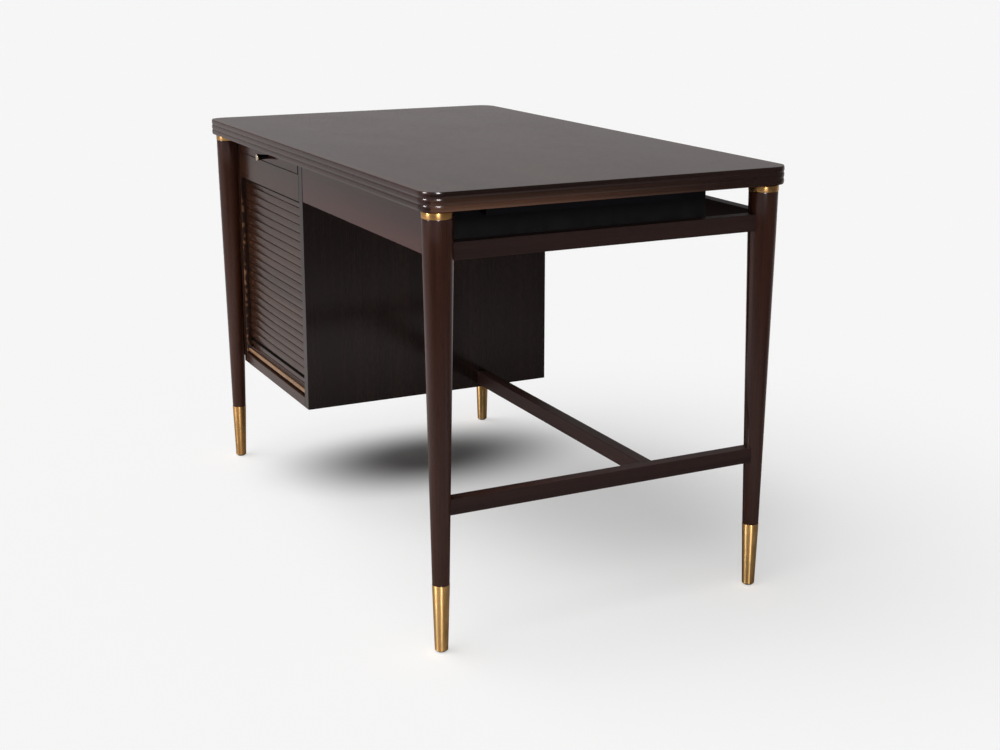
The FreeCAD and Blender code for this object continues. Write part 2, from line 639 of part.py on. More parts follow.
def shelf_pins(name, inner_face, way, play):
    """The two shelf pins in one pedestal side, or their bores with play."""
    start = f"{inner_face} - {'pin_reach' if way > 0 else 'pin_bore'}"
    if play != "0":
        start = f"{inner_face} - {'overrun' if way > 0 else f'(pin_bore + {play})'}"
    length = "pin_bore + pin_reach" if play == "0" else f"pin_bore + {play} + overrun"
    height = "shelf_rise - pin_diameter / 2"
    return [rod(f"{name}_{step}", f"pin_diameter + 2 * {play}", length, start, y, height, ALONG_X)
            for step, y in enumerate(("shelf_front + pin_inset", "inside_back - pin_inset"), 1)]


def make_pedestal():
    """The pedestal's case, shelf and battens."""
    depth = ("front", "pedestal_back")
    width = ("opening_left", "opening_right")
    sides = {"left": (("pedestal_left", "opening_left"), "opening_left", -1),
             "right": (("opening_right", "pedestal_right"), "opening_right", 1)}
    pins = []
    for side, (spans, inner_face, way) in sides.items():
        name = f"pedestal_side_{side}"
        blank = board(f"{name}_blank", spans, depth, ("pedestal_rise", "underside"))
        cutters = track(f"{name}_track", inner_face, way)
        cutters += shelf_pins(f"{name}_pin_bore", inner_face, way, "fit_gap")
        if side == "right":
            cutters += stretcher_screws("pedestal_side_bore", "fit_gap")
        node(name, cut(name, blank, *cutters))
        pins += shelf_pins(f"shelf_pin_{side}", inner_face, way, "0")
    node("shelf_pins", group("shelf_pins", pins))
    node("pedestal_floor", board("pedestal_floor", width, ("front", "inside_back"), ("pedestal_rise", "floor_top")))
    node("pedestal_back", board("pedestal_back", width, ("inside_back", "pedestal_back"), ("pedestal_rise", "underside")))
    node("pedestal_header", board("pedestal_header", width, ("front", "front + header_thickness"),
                                  ("header_foot", "header_top")))
    node("pedestal_ceiling", board("pedestal_ceiling", width, ("track_centre", "inside_back"),
                                   ("ceiling_top - ceiling_thickness", "ceiling_top")))
    node("pedestal_shelf", board("pedestal_shelf", ("opening_left + shelf_end_gap", "opening_right - shelf_end_gap"),
                                 ("shelf_front", "inside_back"), ("shelf_rise", "shelf_rise + shelf_thickness")))
    gap = ("end_panel_thickness / 2 - leg_x", "pedestal_left")
    run = ("front + batten_margin", "pedestal_back - batten_margin")
    levels = {"low": beside("stretcher_rise + batten_inset", 1, "0", "batten_height"),
              "high": beside("rail_top - batten_inset", -1, "0", "batten_height")}
    battens = [block(f"batten_{level}", gap, run, heights) for level, heights in levels.items()]
    node("pedestal_battens", group("pedestal_battens", battens))


def make_tambour():
    """Slats, canvas and lead bar of the curtain."""
    bar_length = "opening_right - opening_left - 2 * slat_end_gap"
    tongue_start = "-tongue_length"
    tongue_length = f"{bar_length} + 2 * tongue_length"
    slats = doc.addObject("PartDesign::Body", "tambour_slats")
    slats.AllowCompound = True
    face = [("slat_crown", "0"), ("slat_thickness", "0"), ("slat_thickness", "slat_height"),
            ("slat_crown", "slat_height")]
    bar = moulded(slats, "slat_bar", face, bar_length, arcs={3: ("slat_face_radius", 1)})
    tongue = [("tongue_inset", "0"), ("tongue_inset + tongue_thickness", "0"),
              ("tongue_inset + tongue_thickness", "slat_height"), ("tongue_inset", "slat_height")]
    ends = moulded(slats, "slat_tongue", tongue, tongue_length, tongue_start)
    repeat = slats.newObject("PartDesign::LinearPattern", "slat_pattern")
    repeat.Originals = [bar, ends]
    repeat.Direction = (bar.Profile[0], ["V_Axis"])
    bind(repeat, "Length", "(slat_count - 1) * slat_pitch")
    bind(repeat, "Occurrences", "slat_count")
    slats.Tip = repeat
    seat(slats, "opening_left + slat_end_gap", "slat_front", "curtain_foot")
    node("tambour_slats", slats)

    canvas_width = ("opening_left + slat_end_gap", "opening_right - slat_end_gap")
    canvas = block("tambour_canvas", canvas_width, ("slat_back", "slat_back + canvas_thickness"),
                   ("curtain_foot", "curtain_top"))
    node("tambour_canvas", canvas)

    lead = doc.addObject("PartDesign::Body", "tambour_lead_bar")
    depth = "lead_lip_reach + slat_thickness"
    lip_top = "lead_undercut + lead_lip_height"
    groove_back, groove_foot = "lead_lip_reach + lead_groove_depth", "lead_height - lead_groove_height"
    face = [("lead_lip_reach", "0"), (depth, "0"), (depth, "lead_height"), (groove_back, "lead_height"),
            (groove_back, groove_foot), ("lead_lip_reach", groove_foot),
            ("lead_lip_reach", f"{lip_top} + cove_height"), ("lead_lip_reach", lip_top), ("0", lip_top),
            ("0", "lead_undercut"), ("lead_lip_reach", "lead_undercut")]
    moulded(lead, "lead_bar", face, bar_length, arcs={6: ("cove_radius", -1)})
    inset = "lead_lip_reach + tongue_inset"
    tongue = [(inset, "0"), (f"{inset} + tongue_thickness", "0"),
              (f"{inset} + tongue_thickness", "lead_height"), (inset, "lead_height")]
    for name, start in (("lead_tongue_left", tongue_start), ("lead_tongue_right", bar_length)):
        moulded(lead, name, tongue, "tongue_length", start)
    seat(lead, "opening_left + slat_end_gap", "slat_front - lead_lip_reach", "lead_foot")
    node("tambour_lead_bar", lead)


def make_slide():
    """The writing slide with its pull, stops, runners and kickers."""
    width = ("opening_left + slide_end_gap", "opening_right - slide_end_gap")
    heights = ("slide_foot", "slide_top")
    lip_width = ("opening_left + slide_slot", "opening_right - slide_slot")
    lip = board("slide_lip_blank", lip_width, ("front", "front + slide_lip_depth"), heights)
    bore = rod("slide_lip_bore", "pull_screw_diameter + 2 * fit_gap", "pull_screw_grip + fit_gap + overrun",
               "opening_middle", "front + pull_screw_grip + fit_gap", "slide_middle", TO_SITTER)
    node("slide_lip", cut("slide_lip", lip, bore))

    blank = board("slide_board_blank", width, ("front + slide_lip_depth", "inside_back - slide_back_gap"), heights)
    stop_line = "front + header_thickness + slide_travel + stop_diameter / 2 + running_gap"
    stop_places = [f"opening_middle + {way} * stop_spacing / 2" for way in (-1, 1)]
    bores = [rod(f"slide_stop_bore_{step}", "stop_diameter + 2 * fit_gap", "stop_bore + fit_gap + overrun",
                 x, stop_line, "slide_foot - overrun") for step, x in enumerate(stop_places, 1)]
    node("slide_board", cut("slide_board", blank, *bores))
    stops = [rod(f"slide_stop_{step}", "stop_diameter", "stop_drop + stop_bore", x, stop_line,
                 "slide_foot - stop_drop") for step, x in enumerate(stop_places, 1)]
    node("slide_stops", group("slide_stops", stops))

    screw = "pull_screw_diameter / 2 + fit_gap"
    cap_seat = "pull_length - pull_cap_thickness"
    pull = turned("slide_pull", [
        (screw, "0"), ("pull_neck_diameter / 2", "0"), ("pull_neck_diameter / 2", "pull_neck_length"),
        ("pull_diameter / 2", cap_seat), ("0", cap_seat), ("0", "pull_screw_reach + fit_gap"),
        (screw, "pull_screw_reach + fit_gap")], {2: ("pull_flare_radius", -1)})
    seat(pull, "opening_middle", "front", "slide_middle", TO_SITTER)
    node("slide_pull", pull)
    rim = "pull_diameter / 2 - pull_cap_chamfer"
    cap = turned("slide_pull_cap", [
        ("0", "0"), ("pull_diameter / 2", "0"), ("pull_diameter / 2", "pull_cap_thickness - pull_cap_chamfer"),
        (rim, "pull_cap_thickness"), ("0", "pull_cap_thickness")])
    seat(cap, "opening_middle", f"front - ({cap_seat})", "slide_middle", TO_SITTER)
    node("slide_pull_cap", cap)
    node("slide_pull_screw", rod("slide_pull_screw", "pull_screw_diameter", "pull_screw_grip + pull_screw_reach",
                                 "opening_middle", "front + pull_screw_grip", "slide_middle", TO_SITTER))

    run = ("front + header_thickness", "inside_back")
    places = {"left": beside("opening_left", 1, "0", "runner_width"),
              "right": beside("opening_right", -1, "0", "runner_width")}
    rest = "slide_foot - running_gap"
    for side, spans in places.items():
        node(f"slide_runner_{side}", block(f"slide_runner_{side}", spans, run, (f"{rest} - runner_height", rest)))
    kickers = [block(f"slide_kicker_{side}", spans, run, ("slide_top + running_gap", "underside"))
               for side, spans in places.items()]
    node("slide_kickers", group("slide_kickers", kickers))


def make_drawer():
    """The centre drawer with its runners and case."""
    box_depth = ("box_front", "box_back")
    heights = ("box_foot", "box_top")
    inner_left = "box_left + drawer_side_thickness"
    inner_right = "box_right - drawer_side_thickness"
    groove_width = (f"{inner_left} - drawer_groove_depth - fit_gap", f"{inner_right} + drawer_groove_depth + fit_gap")
    groove = (groove_width, ("box_front - drawer_groove_depth - fit_gap", "box_back + overrun"),
              ("bottom_foot - fit_gap", "bottom_top + fit_gap"))

    front = board("drawer_front_blank", ("drawer_left", "drawer_right"), ("front", "box_front"),
                  ("drawer_front_foot", "drawer_front_top"))
    node("drawer_front", cut("drawer_front", front, block("drawer_front_groove", *groove)))

    sides = {"left": (("box_left", inner_left), ("box_left", 1)),
             "right": ((inner_right, "box_right"), ("box_right", -1))}
    for side, (spans, (outer_face, way)) in sides.items():
        name = f"drawer_side_{side}"
        blank = board(f"{name}_blank", spans, box_depth, heights)
        slot = block(f"{name}_slot", beside(outer_face, way, "-overrun", "drawer_runner_bite + running_gap"),
                     ("box_front - overrun", "box_back + overrun"),
                     ("runner_foot - running_gap", "runner_top + running_gap"))
        node(name, cut(name, blank, slot, block(f"{name}_groove", *groove)))
        runner = block(f"drawer_runner_{side}", beside(outer_face, way, "-drawer_side_gap", "drawer_runner_bite"),
                       ("box_front + drawer_runner_front", "case_inside_back"), ("runner_foot", "runner_top"))
        node(f"drawer_runner_{side}", runner)

    node("drawer_back", board("drawer_back", (inner_left, inner_right),
                              ("box_back - drawer_side_thickness", "box_back"), ("bottom_top + fit_gap", "box_top")))
    bottom = block("drawer_bottom", (f"{inner_left} - drawer_groove_depth", f"{inner_right} + drawer_groove_depth"),
                   ("box_front - drawer_groove_depth", "box_back"), ("bottom_foot", "bottom_top"))
    node("drawer_bottom", bottom)

    node("case_side", board("case_side", ("case_inner", "case_right"), ("box_front + case_front_gap", "case_end"),
                            ("case_foot", "underside")))
    node("case_back", board("case_back", ("pedestal_right", "case_inner"), ("case_inside_back", "case_end"),
                            ("case_foot", "underside")))
    cleat = block("case_cleat", ("case_right", "case_right + cleat_size"),
                  ("box_front + cleat_margin", "case_end - cleat_margin"), ("underside - cleat_size", "underside"))
    node("case_cleat", cleat)


def checked_shapes():
    """Every piece's shape, once the whole document has built without a fault."""
    doc.recompute()
    failed = [thing.Name for thing in doc.Objects if {"Invalid", "Error"} & set(thing.State)]
    if failed:
        raise RuntimeError(f"these did not build: {failed}")
    for thing in doc.Objects:
        if thing.TypeId == "Part::Cut" and not thing.Shape.Volume < thing.Base.Shape.Volume:
            raise RuntimeError(f"{thing.Name} cuts nothing")
    for label, thing in nodes.items():
        if thing.Shape.isNull() or not thing.Shape.isValid() or not thing.Shape.Solids:
            raise RuntimeError(f"{label} has no sound solid")
    return {label: thing.Shape for label, thing in nodes.items()}


make_top()
make_moulding("back", 0, "-corner_x", "corner_y", "corner_x")
make_moulding("left", 1, "-corner_x", "-corner_y", "corner_y")
make_moulding("front", 2, "corner_x", "-corner_y", "corner_x")
make_moulding("right", 3, "corner_x", "corner_y", "corner_y")
make_frame()
make_pedestal()
make_tambour()
make_slide()
make_drawer()
os.makedirs("parts", exist_ok=True)
for label, shape in checked_shapes().items():
    shape.exportStep(f"parts/{label}.step")
    print(label, len(shape.Solids), round(shape.Volume))
print(len(nodes), "nodes")
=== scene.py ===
import math

import bpy
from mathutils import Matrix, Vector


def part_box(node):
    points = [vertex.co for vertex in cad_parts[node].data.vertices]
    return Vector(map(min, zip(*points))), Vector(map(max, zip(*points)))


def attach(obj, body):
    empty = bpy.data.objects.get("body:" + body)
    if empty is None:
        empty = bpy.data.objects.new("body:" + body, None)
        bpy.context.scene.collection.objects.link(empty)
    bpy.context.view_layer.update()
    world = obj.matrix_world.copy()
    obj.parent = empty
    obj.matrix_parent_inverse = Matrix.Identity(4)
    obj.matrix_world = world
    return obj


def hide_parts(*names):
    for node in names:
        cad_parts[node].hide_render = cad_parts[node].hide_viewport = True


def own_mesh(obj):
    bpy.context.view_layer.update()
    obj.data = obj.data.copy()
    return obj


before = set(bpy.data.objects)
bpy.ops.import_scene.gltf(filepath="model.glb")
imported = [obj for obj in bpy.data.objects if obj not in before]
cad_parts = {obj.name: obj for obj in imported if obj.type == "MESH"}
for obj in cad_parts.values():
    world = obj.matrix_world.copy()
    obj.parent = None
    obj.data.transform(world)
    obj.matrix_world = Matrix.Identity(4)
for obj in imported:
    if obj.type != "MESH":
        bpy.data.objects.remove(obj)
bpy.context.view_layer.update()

bl_info = {
    "name": "Tambour desk",
    "version": (1, 0, 0),
    "blender": (4, 5, 0),
    "location": "View3D > Sidebar > Desk",
    "description": "Dresses the packed tambour desk with turned, moulded and polished pieces",
    "category": "Object",
}

MM = 0.001
TOUCH = 1e-6  # points this near to each other are one
CORNERS = ("front_left", "back_right", "back_left", "front_right")  # the piece that is copied comes last

# Eased edges of turned pieces, from the face to the round side: how far inwards, and how far from the face
LEG_EASE = ((1 * MM, 0), (0.3 * MM, 0.2 * MM), (0, 1 * MM))
COLLAR_EASE = ((1.1 * MM, 0), (0.35 * MM, 0.3 * MM), (0, 1.1 * MM))
FERRULE_FOOT_EASE = ((0.7 * MM, 0), (0.2 * MM, 0.2 * MM), (0, 0.7 * MM))
FERRULE_HEAD_EASE = ((0.4 * MM, 0), (0.1 * MM, 0.15 * MM), (0.05 * MM, 0.5 * MM))
CAP_EASE = ((1 * MM, 0.1 * MM), (0.3 * MM, 0.3 * MM), (0, 0.9 * MM))
GLIDE_DOME = ((0.62, 0), (0.76, 0.14), (0.88, 0.38), (0.96, 0.7), (1, 1))  # shares of its radius and height

# Lower and upper corners of the CAD pieces that the shapes and finishes here go by
TOP_LOW, TOP_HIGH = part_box("top_edge_front")[0].copy(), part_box("top_edge_back")[1].copy()
TOP_LOW.x, TOP_HIGH.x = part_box("top_edge_left")[0].x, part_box("top_edge_right")[1].x
LEG_LOW, LEG_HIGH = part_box("leg_front_right")
COLLAR_LOW, COLLAR_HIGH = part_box("collar_front_right")
FERRULE_LOW, FERRULE_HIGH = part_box("ferrule_front_right")
SLATS_LOW, SLATS_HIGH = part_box("tambour_slats")
CANVAS_LOW, CANVAS_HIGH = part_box("tambour_canvas")
LEAD_LOW, LEAD_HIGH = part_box("tambour_lead_bar")
PULL_LOW, PULL_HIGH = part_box("slide_pull")
CAP_LOW, CAP_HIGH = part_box("slide_pull_cap")
SIDE_LOW, SIDE_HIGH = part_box("pedestal_side_left")


# Sizes and colours that a user would change

def length(name, description, default):
    return bpy.props.FloatProperty(name=name, description=description, default=default, min=0, unit="LENGTH",
                                   precision=4)


def colour(name, description, default):
    return bpy.props.FloatVectorProperty(name=name, description=description, default=default, size=3, min=0, max=1,
                                         subtype="COLOR")


def amount(name, description, default, most=100):
    return bpy.props.FloatProperty(name=name, description=description, default=default, min=0, max=most)


class DeskSizes(bpy.types.PropertyGroup):
    """Sizes of the turned and moulded pieces."""
    bead_depth: length("Bead depth", "Beads in front of the quirks between them", 0.9 * MM)
    bead_height: length("Bead height", "Height of one bead between its quirks", 9.4 * MM)
    bead_pitch: length("Bead pitch", "From one bead of the top's edge to the next", 10 * MM)
    edge_width: length("Edge width", "Width of the moulding round the top", 12 * MM)
    corner_radius: length("Corner radius", "Rounded corners of the top", 33 * MM)
    leg_foot_radius: length("Leg foot radius", "Leg where it goes into the ferrule", 13.9 * MM)
    leg_spigot: length("Leg spigot", "Leg inside the ferrule's rim", 4 * MM)
    leg_swell_radius: length("Leg swell radius", "Leg where the long taper ends", 23.6 * MM)
    leg_swell_height: length("Leg swell height", "Height at which the long taper ends", 622 * MM)
    leg_neck_radius: length("Leg neck radius", "Neck that carries the collar", 22.5 * MM)
    ferrule_foot_radius: length("Ferrule foot radius", "Brass ferrule at the glide", 10.8 * MM)
    ferrule_head_radius: length("Ferrule head radius", "Brass ferrule at its upper rim", 14.3 * MM)
    glide_radius: length("Glide radius", "Domed glide under the ferrule", 9.5 * MM)
    slat_count: bpy.props.IntProperty(name="Slat count", description="Slats of the curtain", default=21, min=1)
    slat_gap: length("Slat gap", "From one curtain slat to the next", 0.8 * MM)
    slat_face_radius: length("Slat face radius", "Rounding of a slat's face", 34 * MM)
    slat_arris: length("Slat arris", "Eased edges of a slat's face", 0.5 * MM)
    # painted shade: how far down the top slat is coloured near-black, as shade under the header
    slat_painted_shade: length("Slat shade", "Dark stain along the top slat, under the header", 6.8 * MM)
    tongue_step: length("Tongue step", "Shoulder round a tongue", 0.6 * MM)
    tongue_length: length("Tongue length", "Slat ends that run in the tracks", 7.5 * MM)
    lip_rise: length("Lip rise", "Rebate under the finger lip of the lead bar", 3.5 * MM)
    lip_height: length("Lip height", "Finger lip of the lead bar", 7.5 * MM)
    lip_reach: length("Lip reach", "Finger lip in front of the slats", 6 * MM)
    lip_arris: length("Lip arris", "Rounded edges of the finger lip", 2.2 * MM)
    cove_height: length("Cove height", "Finger cove of the lead bar", 10 * MM)
    cove_radius: length("Cove radius", "Finger cove of the lead bar", 5.5 * MM)
    groove: length("Groove", "Rebate along the upper edge of the lead bar", 5 * MM)
    pull_neck_radius: length("Pull neck radius", "Slide pull at the lip", 4.25 * MM)
    pull_neck_length: length("Pull neck length", "Straight part of the slide pull", 3 * MM)


class DeskFinishes(bpy.types.PropertyGroup):
    """Colours and gloss of the finishes."""
    stain_dark: colour("Dark stain", "Espresso stain in the dark bands of the grain", (0.012, 0.0046, 0.0031))
    stain_light: colour("Light stain", "Espresso stain in the light bands of the grain", (0.046, 0.0175, 0.0105))
    # painted light: a lighter, redder copy of the espresso stain for the boards that face the front, which get less
    # light than the top
    lit_front_dark: colour("Dark front stain", "Boards at the front, dark bands", (0.030, 0.0074, 0.0054))
    lit_front_light: colour("Light front stain", "Boards at the front, light bands", (0.125, 0.031, 0.020))
    edge_dark: colour("Dark edge stain", "Edge of the top, dark bands", (0.018, 0.0062, 0.0046))
    edge_light: colour("Light edge stain", "Edge of the top, light bands", (0.075, 0.0245, 0.016))
    slat_dark: colour("Dark slat stain", "Curtain slats, dark bands", (0.021, 0.0078, 0.0045))
    slat_light: colour("Light slat stain", "Curtain slats, light bands", (0.082, 0.030, 0.0135))
    # painted shade: a darker, less red copy of the espresso stain, for boards that face away from the light or stand
    # under the top
    shaded_side_dark: colour("Dark side stain", "Sides of the pedestal, dark bands", (0.011, 0.0058, 0.0052))
    shaded_side_light: colour("Light side stain", "Sides of the pedestal, light bands", (0.030, 0.0155, 0.013))
    rail_dark: colour("Dark rail stain", "Rails and stretchers, dark bands", (0.020, 0.0072, 0.0052))
    rail_light: colour("Light rail stain", "Rails and stretchers, light bands", (0.072, 0.028, 0.021))
    leg_dark: colour("Dark leg stain", "Legs in the dark bands of the grain", (0.027, 0.0076, 0.0046))
    leg_light: colour("Light leg stain", "Legs in the light bands of the grain", (0.110, 0.035, 0.019))
    # painted highlight: a lighter, more orange colour along the nose of the lead bar's finger lip
    painted_light: colour("Worn wood", "Finish worn by fingers", (0.52, 0.30, 0.155))
    # painted reflection: a redder colour on the lower beads at the right end of the top, towards the front
    painted_reflection: colour("Rubbed edge", "Edge of the top rubbed to the red ground", (0.36, 0.16, 0.09))
    # painted highlight: lighter, reddish specks along the front edge of the left side beside the curtain, fading out
    # towards the top
    reveal: colour("Chipped reveal", "Chips beside the curtain, down to the wood", (0.58, 0.28, 0.13))
    wood_gloss: bpy.props.FloatProperty(name="Lacquer roughness", description="Roughness of the lacquered wood",
                                        default=0.15, min=0.02, max=1, subtype="FACTOR")
    rail_gloss: bpy.props.FloatProperty(name="Rail roughness", description="Roughness of the rails and stretchers",
                                        default=0.45, min=0.02, max=1, subtype="FACTOR")
    inner_dark: colour("Dark inner wood", "Plain wood inside, dark bands", (0.30, 0.165, 0.08))
    inner_light: colour("Light inner wood", "Plain wood inside, light bands", (0.46, 0.29, 0.16))
    brass_bright: colour("Bright brass", "Polished brass", (0.97, 0.615, 0.25))
    brass_dull: colour("Dull brass", "Brass where it has dulled", (0.52, 0.27, 0.09))
    # painted shade: a darker brass for the collars under the top and for the left front ferrule
    handled_bright: colour("Handled brass", "Collars and left front foot, dulled by handling", (0.74, 0.42, 0.155))
    cap_bright: colour("Pull cap", "Pale brass of the pull's cap", (0.95, 0.80, 0.58))
    steel: colour("Steel", "Bolts, screws and pins", (0.56, 0.56, 0.57))
    steel_dull: colour("Dull steel", "Steel where it has dulled", (0.36, 0.35, 0.34))
    black: colour("Black metal", "Enamelled pull", (0.012, 0.011, 0.011))
    black_dull: colour("Dull black metal", "Enamel where it has dulled", (0.03, 0.028, 0.026))
    # painted shade: the drawer case under the top is coloured bluish near-black, standing in for the shade there
    paint: colour("Black paint", "Case of the drawer", (0.0046, 0.0045, 0.0085))
    case_shade_dull: colour("Dull black paint", "Paint where it has dulled", (0.009, 0.009, 0.014))
    # painted shade: a near-black colour in the rebate along the lead bar and along the top of the upper slat, where
    # shade falls
    groove: colour("Groove stain", "Stain in the grooves of the curtain", (0.0055, 0.0032, 0.0024))
    groove_shade_dull: colour("Dull groove stain", "Stain where it has dulled", (0.010, 0.006, 0.0045))
    glide: colour("Glide", "Glides under the feet", (0.025, 0.023, 0.022))
    glide_dull: colour("Dull glide", "Glides where they are scuffed", (0.05, 0.048, 0.045))
    canvas: colour("Canvas", "Cloth behind the slats", (0.030, 0.024, 0.019))


class DeskStage(bpy.types.PropertyGroup):
    """Camera, lamps and floor."""
    camera_place: bpy.props.FloatVectorProperty(name="Camera place", description="Where the camera stands", size=3,
                                                default=(2.56742, -1.2001, 1.08201), subtype="XYZ", unit="LENGTH")
    camera_azimuth: bpy.props.FloatProperty(name="Camera azimuth", description="Direction of view, seen from above",
                                            default=math.radians(63.58), subtype="ANGLE", unit="ROTATION")
    camera_dip: bpy.props.FloatProperty(name="Camera dip", description="Angle of view below the horizon",
                                        default=math.radians(13.13), subtype="ANGLE", unit="ROTATION")
    lens: bpy.props.FloatProperty(name="Lens", description="Focal length in millimetres", default=54.572, min=10)
    camera_shift: bpy.props.FloatProperty(name="Camera shift", description="Upward shift of the lens", default=-0.07)
    floor_colour: colour("Floor", "Pale floor, as it lights the desk", (0.66, 0.66, 0.66))
    floor_seen: colour("Floor seen", "Pale floor, as the picture shows it", (0.45, 0.45, 0.45))
    backdrop: amount("Backdrop", "Brightness of the backdrop", 0.92, 1)
    # the floor glow is lowered in two patches of painted shadow round the desk
    floor_glow: amount("Floor glow", "Even brightness of the floor in the picture", 0.58, 1)
    ambient: amount("Ambient light", "Soft light from all round", 0.14)
    key: amount("Key light", "Strength of the broad soft lamp", 2.2)
    left_spark: amount("Left spark light", "Strength of the small lamp at the left", 2.7)
    right_spark: amount("Right spark light", "Strength of the small lamp at the right", 2.4)
    room_tint: colour("Room tint", "Colour of the room in reflections", (1.0, 0.955, 0.95))


# Modelling moves

def clear_selection():
    if bpy.context.mode != "OBJECT":
        bpy.ops.object.mode_set(mode="OBJECT")
    bpy.ops.object.select_all(action="DESELECT")


def start_point(name, place):
    """A new piece that is a single point, open for modelling."""
    clear_selection()
    bpy.ops.mesh.primitive_plane_add(size=0.01, location=place)
    piece = bpy.context.object
    piece.name = piece.data.name = name
    bpy.ops.object.mode_set(mode="EDIT")
    bpy.ops.mesh.select_mode(type="VERT")
    bpy.ops.mesh.select_all(action="SELECT")
    bpy.ops.mesh.merge(type="CENTER")
    return piece


def pull(*step):
    """Extrudes what is selected by one step."""
    bpy.ops.mesh.extrude_region_move(TRANSFORM_OT_translate={"value": step})


def swing(turn, steps, centre, axis):
    """Spins what is selected by a right-handed turn; without a window the spin tool counts the other way."""
    bpy.ops.mesh.spin(steps=steps, angle=-turn, center=centre, axis=axis)


def trace(points):
    """Draws on from the selected first point through the rest, each (along x, along y, along z) in the frame."""
    for here, there in zip(points, points[1:]):
        pull(*(b - a for a, b in zip(here, there)))


def select_parts(piece, kind, test):
    """Selects the open piece's faces or edges whose corners all pass the test."""
    bpy.ops.object.mode_set(mode="OBJECT")
    mesh = piece.data
    for group in (mesh.vertices, mesh.edges, mesh.polygons):
        group.foreach_set("select", [False] * len(group))
    place = piece.matrix_world
    for part in mesh.polygons if kind == "FACE" else mesh.edges:
        part.select = all(test(place @ mesh.vertices[i].co) for i in part.vertices)
    bpy.ops.object.mode_set(mode="EDIT")
    bpy.ops.mesh.select_mode(type=kind)


def close_up(piece, angle=35):
    """Joins seams, turns faces outwards, puts the place into the mesh and smooths the round parts."""
    bpy.ops.object.mode_set(mode="EDIT")
    bpy.ops.mesh.select_all(action="SELECT")
    bpy.ops.mesh.remove_doubles(threshold=TOUCH)
    bpy.ops.mesh.normals_make_consistent(inside=False)
    clear_selection()
    piece.select_set(True)
    bpy.context.view_layer.objects.active = piece
    bpy.ops.object.transform_apply(location=True, rotation=True, scale=True)
    bpy.ops.object.shade_smooth_by_angle(angle=math.radians(angle))
    return piece


def copy_to(piece, name, offset):
    """A copy with its own mesh, moved by the offset."""
    clear_selection()
    piece.select_set(True)
    bpy.context.view_layer.objects.active = piece
    bpy.ops.object.duplicate(linked=False)
    twin = bpy.context.object
    twin.name = twin.data.name = name
    bpy.ops.transform.translate(value=offset)
    bpy.ops.object.transform_apply(location=True, rotation=True, scale=True)
    return twin


def turned(name, centre, profile, steps=64):
    """A piece turned about the upright axis at centre from (radius, height) points."""
    points = [(centre[0] + radius, centre[1], height) for radius, height in profile]
    piece = start_point(name, points[0])
    trace(points)
    bpy.ops.mesh.select_all(action="SELECT")
    swing(math.tau, steps, centre=(centre[0], centre[1], 0), axis=(0, 0, 1))
    return piece


def eased(radius, height, ease, up):
    """The points of an eased edge; up is 1 at the lower end of a piece and -1 at the upper end."""
    return [(radius - inwards, height + up * along) for inwards, along in ease]


def settle(piece, body, slot, material, *nodes):
    """Gives a finished piece its finish and its body, and hides the CAD nodes it stands for."""
    piece.data.materials.clear()
    piece.data.materials.append(material)
    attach(piece, body)
    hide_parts(*nodes)


def line(piece, material, test):
    """Gives the faces whose corners all pass the test a finish of their own."""
    clear_selection()
    bpy.context.view_layer.objects.active = piece
    piece.data.materials.append(material)
    select_parts(piece, "FACE", test)
    piece.active_material_index = len(piece.data.materials) - 1
    bpy.ops.object.material_slot_assign()
    clear_selection()


def corner_offset(corner):
    """From the front right leg to the leg of another corner."""
    here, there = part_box("leg_front_right"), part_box(f"leg_{corner}")
    return (there[0] + there[1] - here[0] - here[1]) / 2


def at_corner(first, stem, corner):
    """The front right piece itself, or a copy of it at another corner."""
    return first if corner == "front_right" else copy_to(first, f"{stem}_{corner}", corner_offset(corner))


# Finishes

PORE_COLOUR = (0.004, 0.0025, 0.002, 1)
GRAIN_TURNS = {"x": (0, 0, 0), "y": (0, 0, -math.pi / 2), "z": (0, math.pi / 2, 0)}
THREAD = 0.9 * MM
FINISHES = {}


def new_group(name, inputs, outputs):
    tree = bpy.data.node_groups.new(name, "ShaderNodeTree")
    for label, kind, default in inputs:
        socket = tree.interface.new_socket(label, in_out="INPUT", socket_type=kind)
        if default is not None:
            socket.default_value = default
    for label, kind in outputs:
        tree.interface.new_socket(label, in_out="OUTPUT", socket_type=kind)
    return tree, tree.nodes.new("NodeGroupInput"), tree.nodes.new("NodeGroupOutput")


def put(tree, kind, links=None, **values):
    """Adds a node, sets its values, and links its inputs, named or numbered, from other sockets."""
    made = tree.nodes.new(kind)
    for key, value in values.items():
        setattr(made, key, value)
    for key, source in (links or {}).items():
        if isinstance(source, bpy.types.NodeSocket):
            tree.links.new(source, made.inputs[key])
        else:
            made.inputs[key].default_value = source
    return made


def stretched_noise(tree, vector, stretch, detail=2.0, roughness=0.5, distortion=0.0):
    scaled = put(tree, "ShaderNodeVectorMath", {0: vector, 1: stretch}, operation="MULTIPLY")
    noise = put(tree, "ShaderNodeTexNoise", {"Vector": scaled.outputs[0], "Scale": 1.0, "Detail": detail,
                                             "Roughness": roughness, "Distortion": distortion})
    return noise.outputs["Fac"]


def spread(tree, value, low, high, to_low=0.0, to_high=1.0, kind="LINEAR"):
    made = put(tree, "ShaderNodeMapRange", {"Value": value, "From Min": low, "From Max": high, "To Min": to_low,
                                            "To Max": to_high}, interpolation_type=kind)
    return made.outputs["Result"]


def sums(tree, operation, first, second):
    return put(tree, "ShaderNodeMath", {0: first, 1: second}, operation=operation).outputs[0]


def blend_colours(tree, factor, first, second):
    made = put(tree, "ShaderNodeMix", {0: factor, 6: first, 7: second}, data_type="RGBA")
    return made.outputs[2]


def emboss(tree, shader, height, strength, depth):
    """Raises and sinks the surface by a pattern of heights."""
    bump = put(tree, "ShaderNodeBump", {"Strength": strength, "Distance": depth, "Height": height})
    tree.links.new(bump.outputs[0], shader.inputs["Normal"])


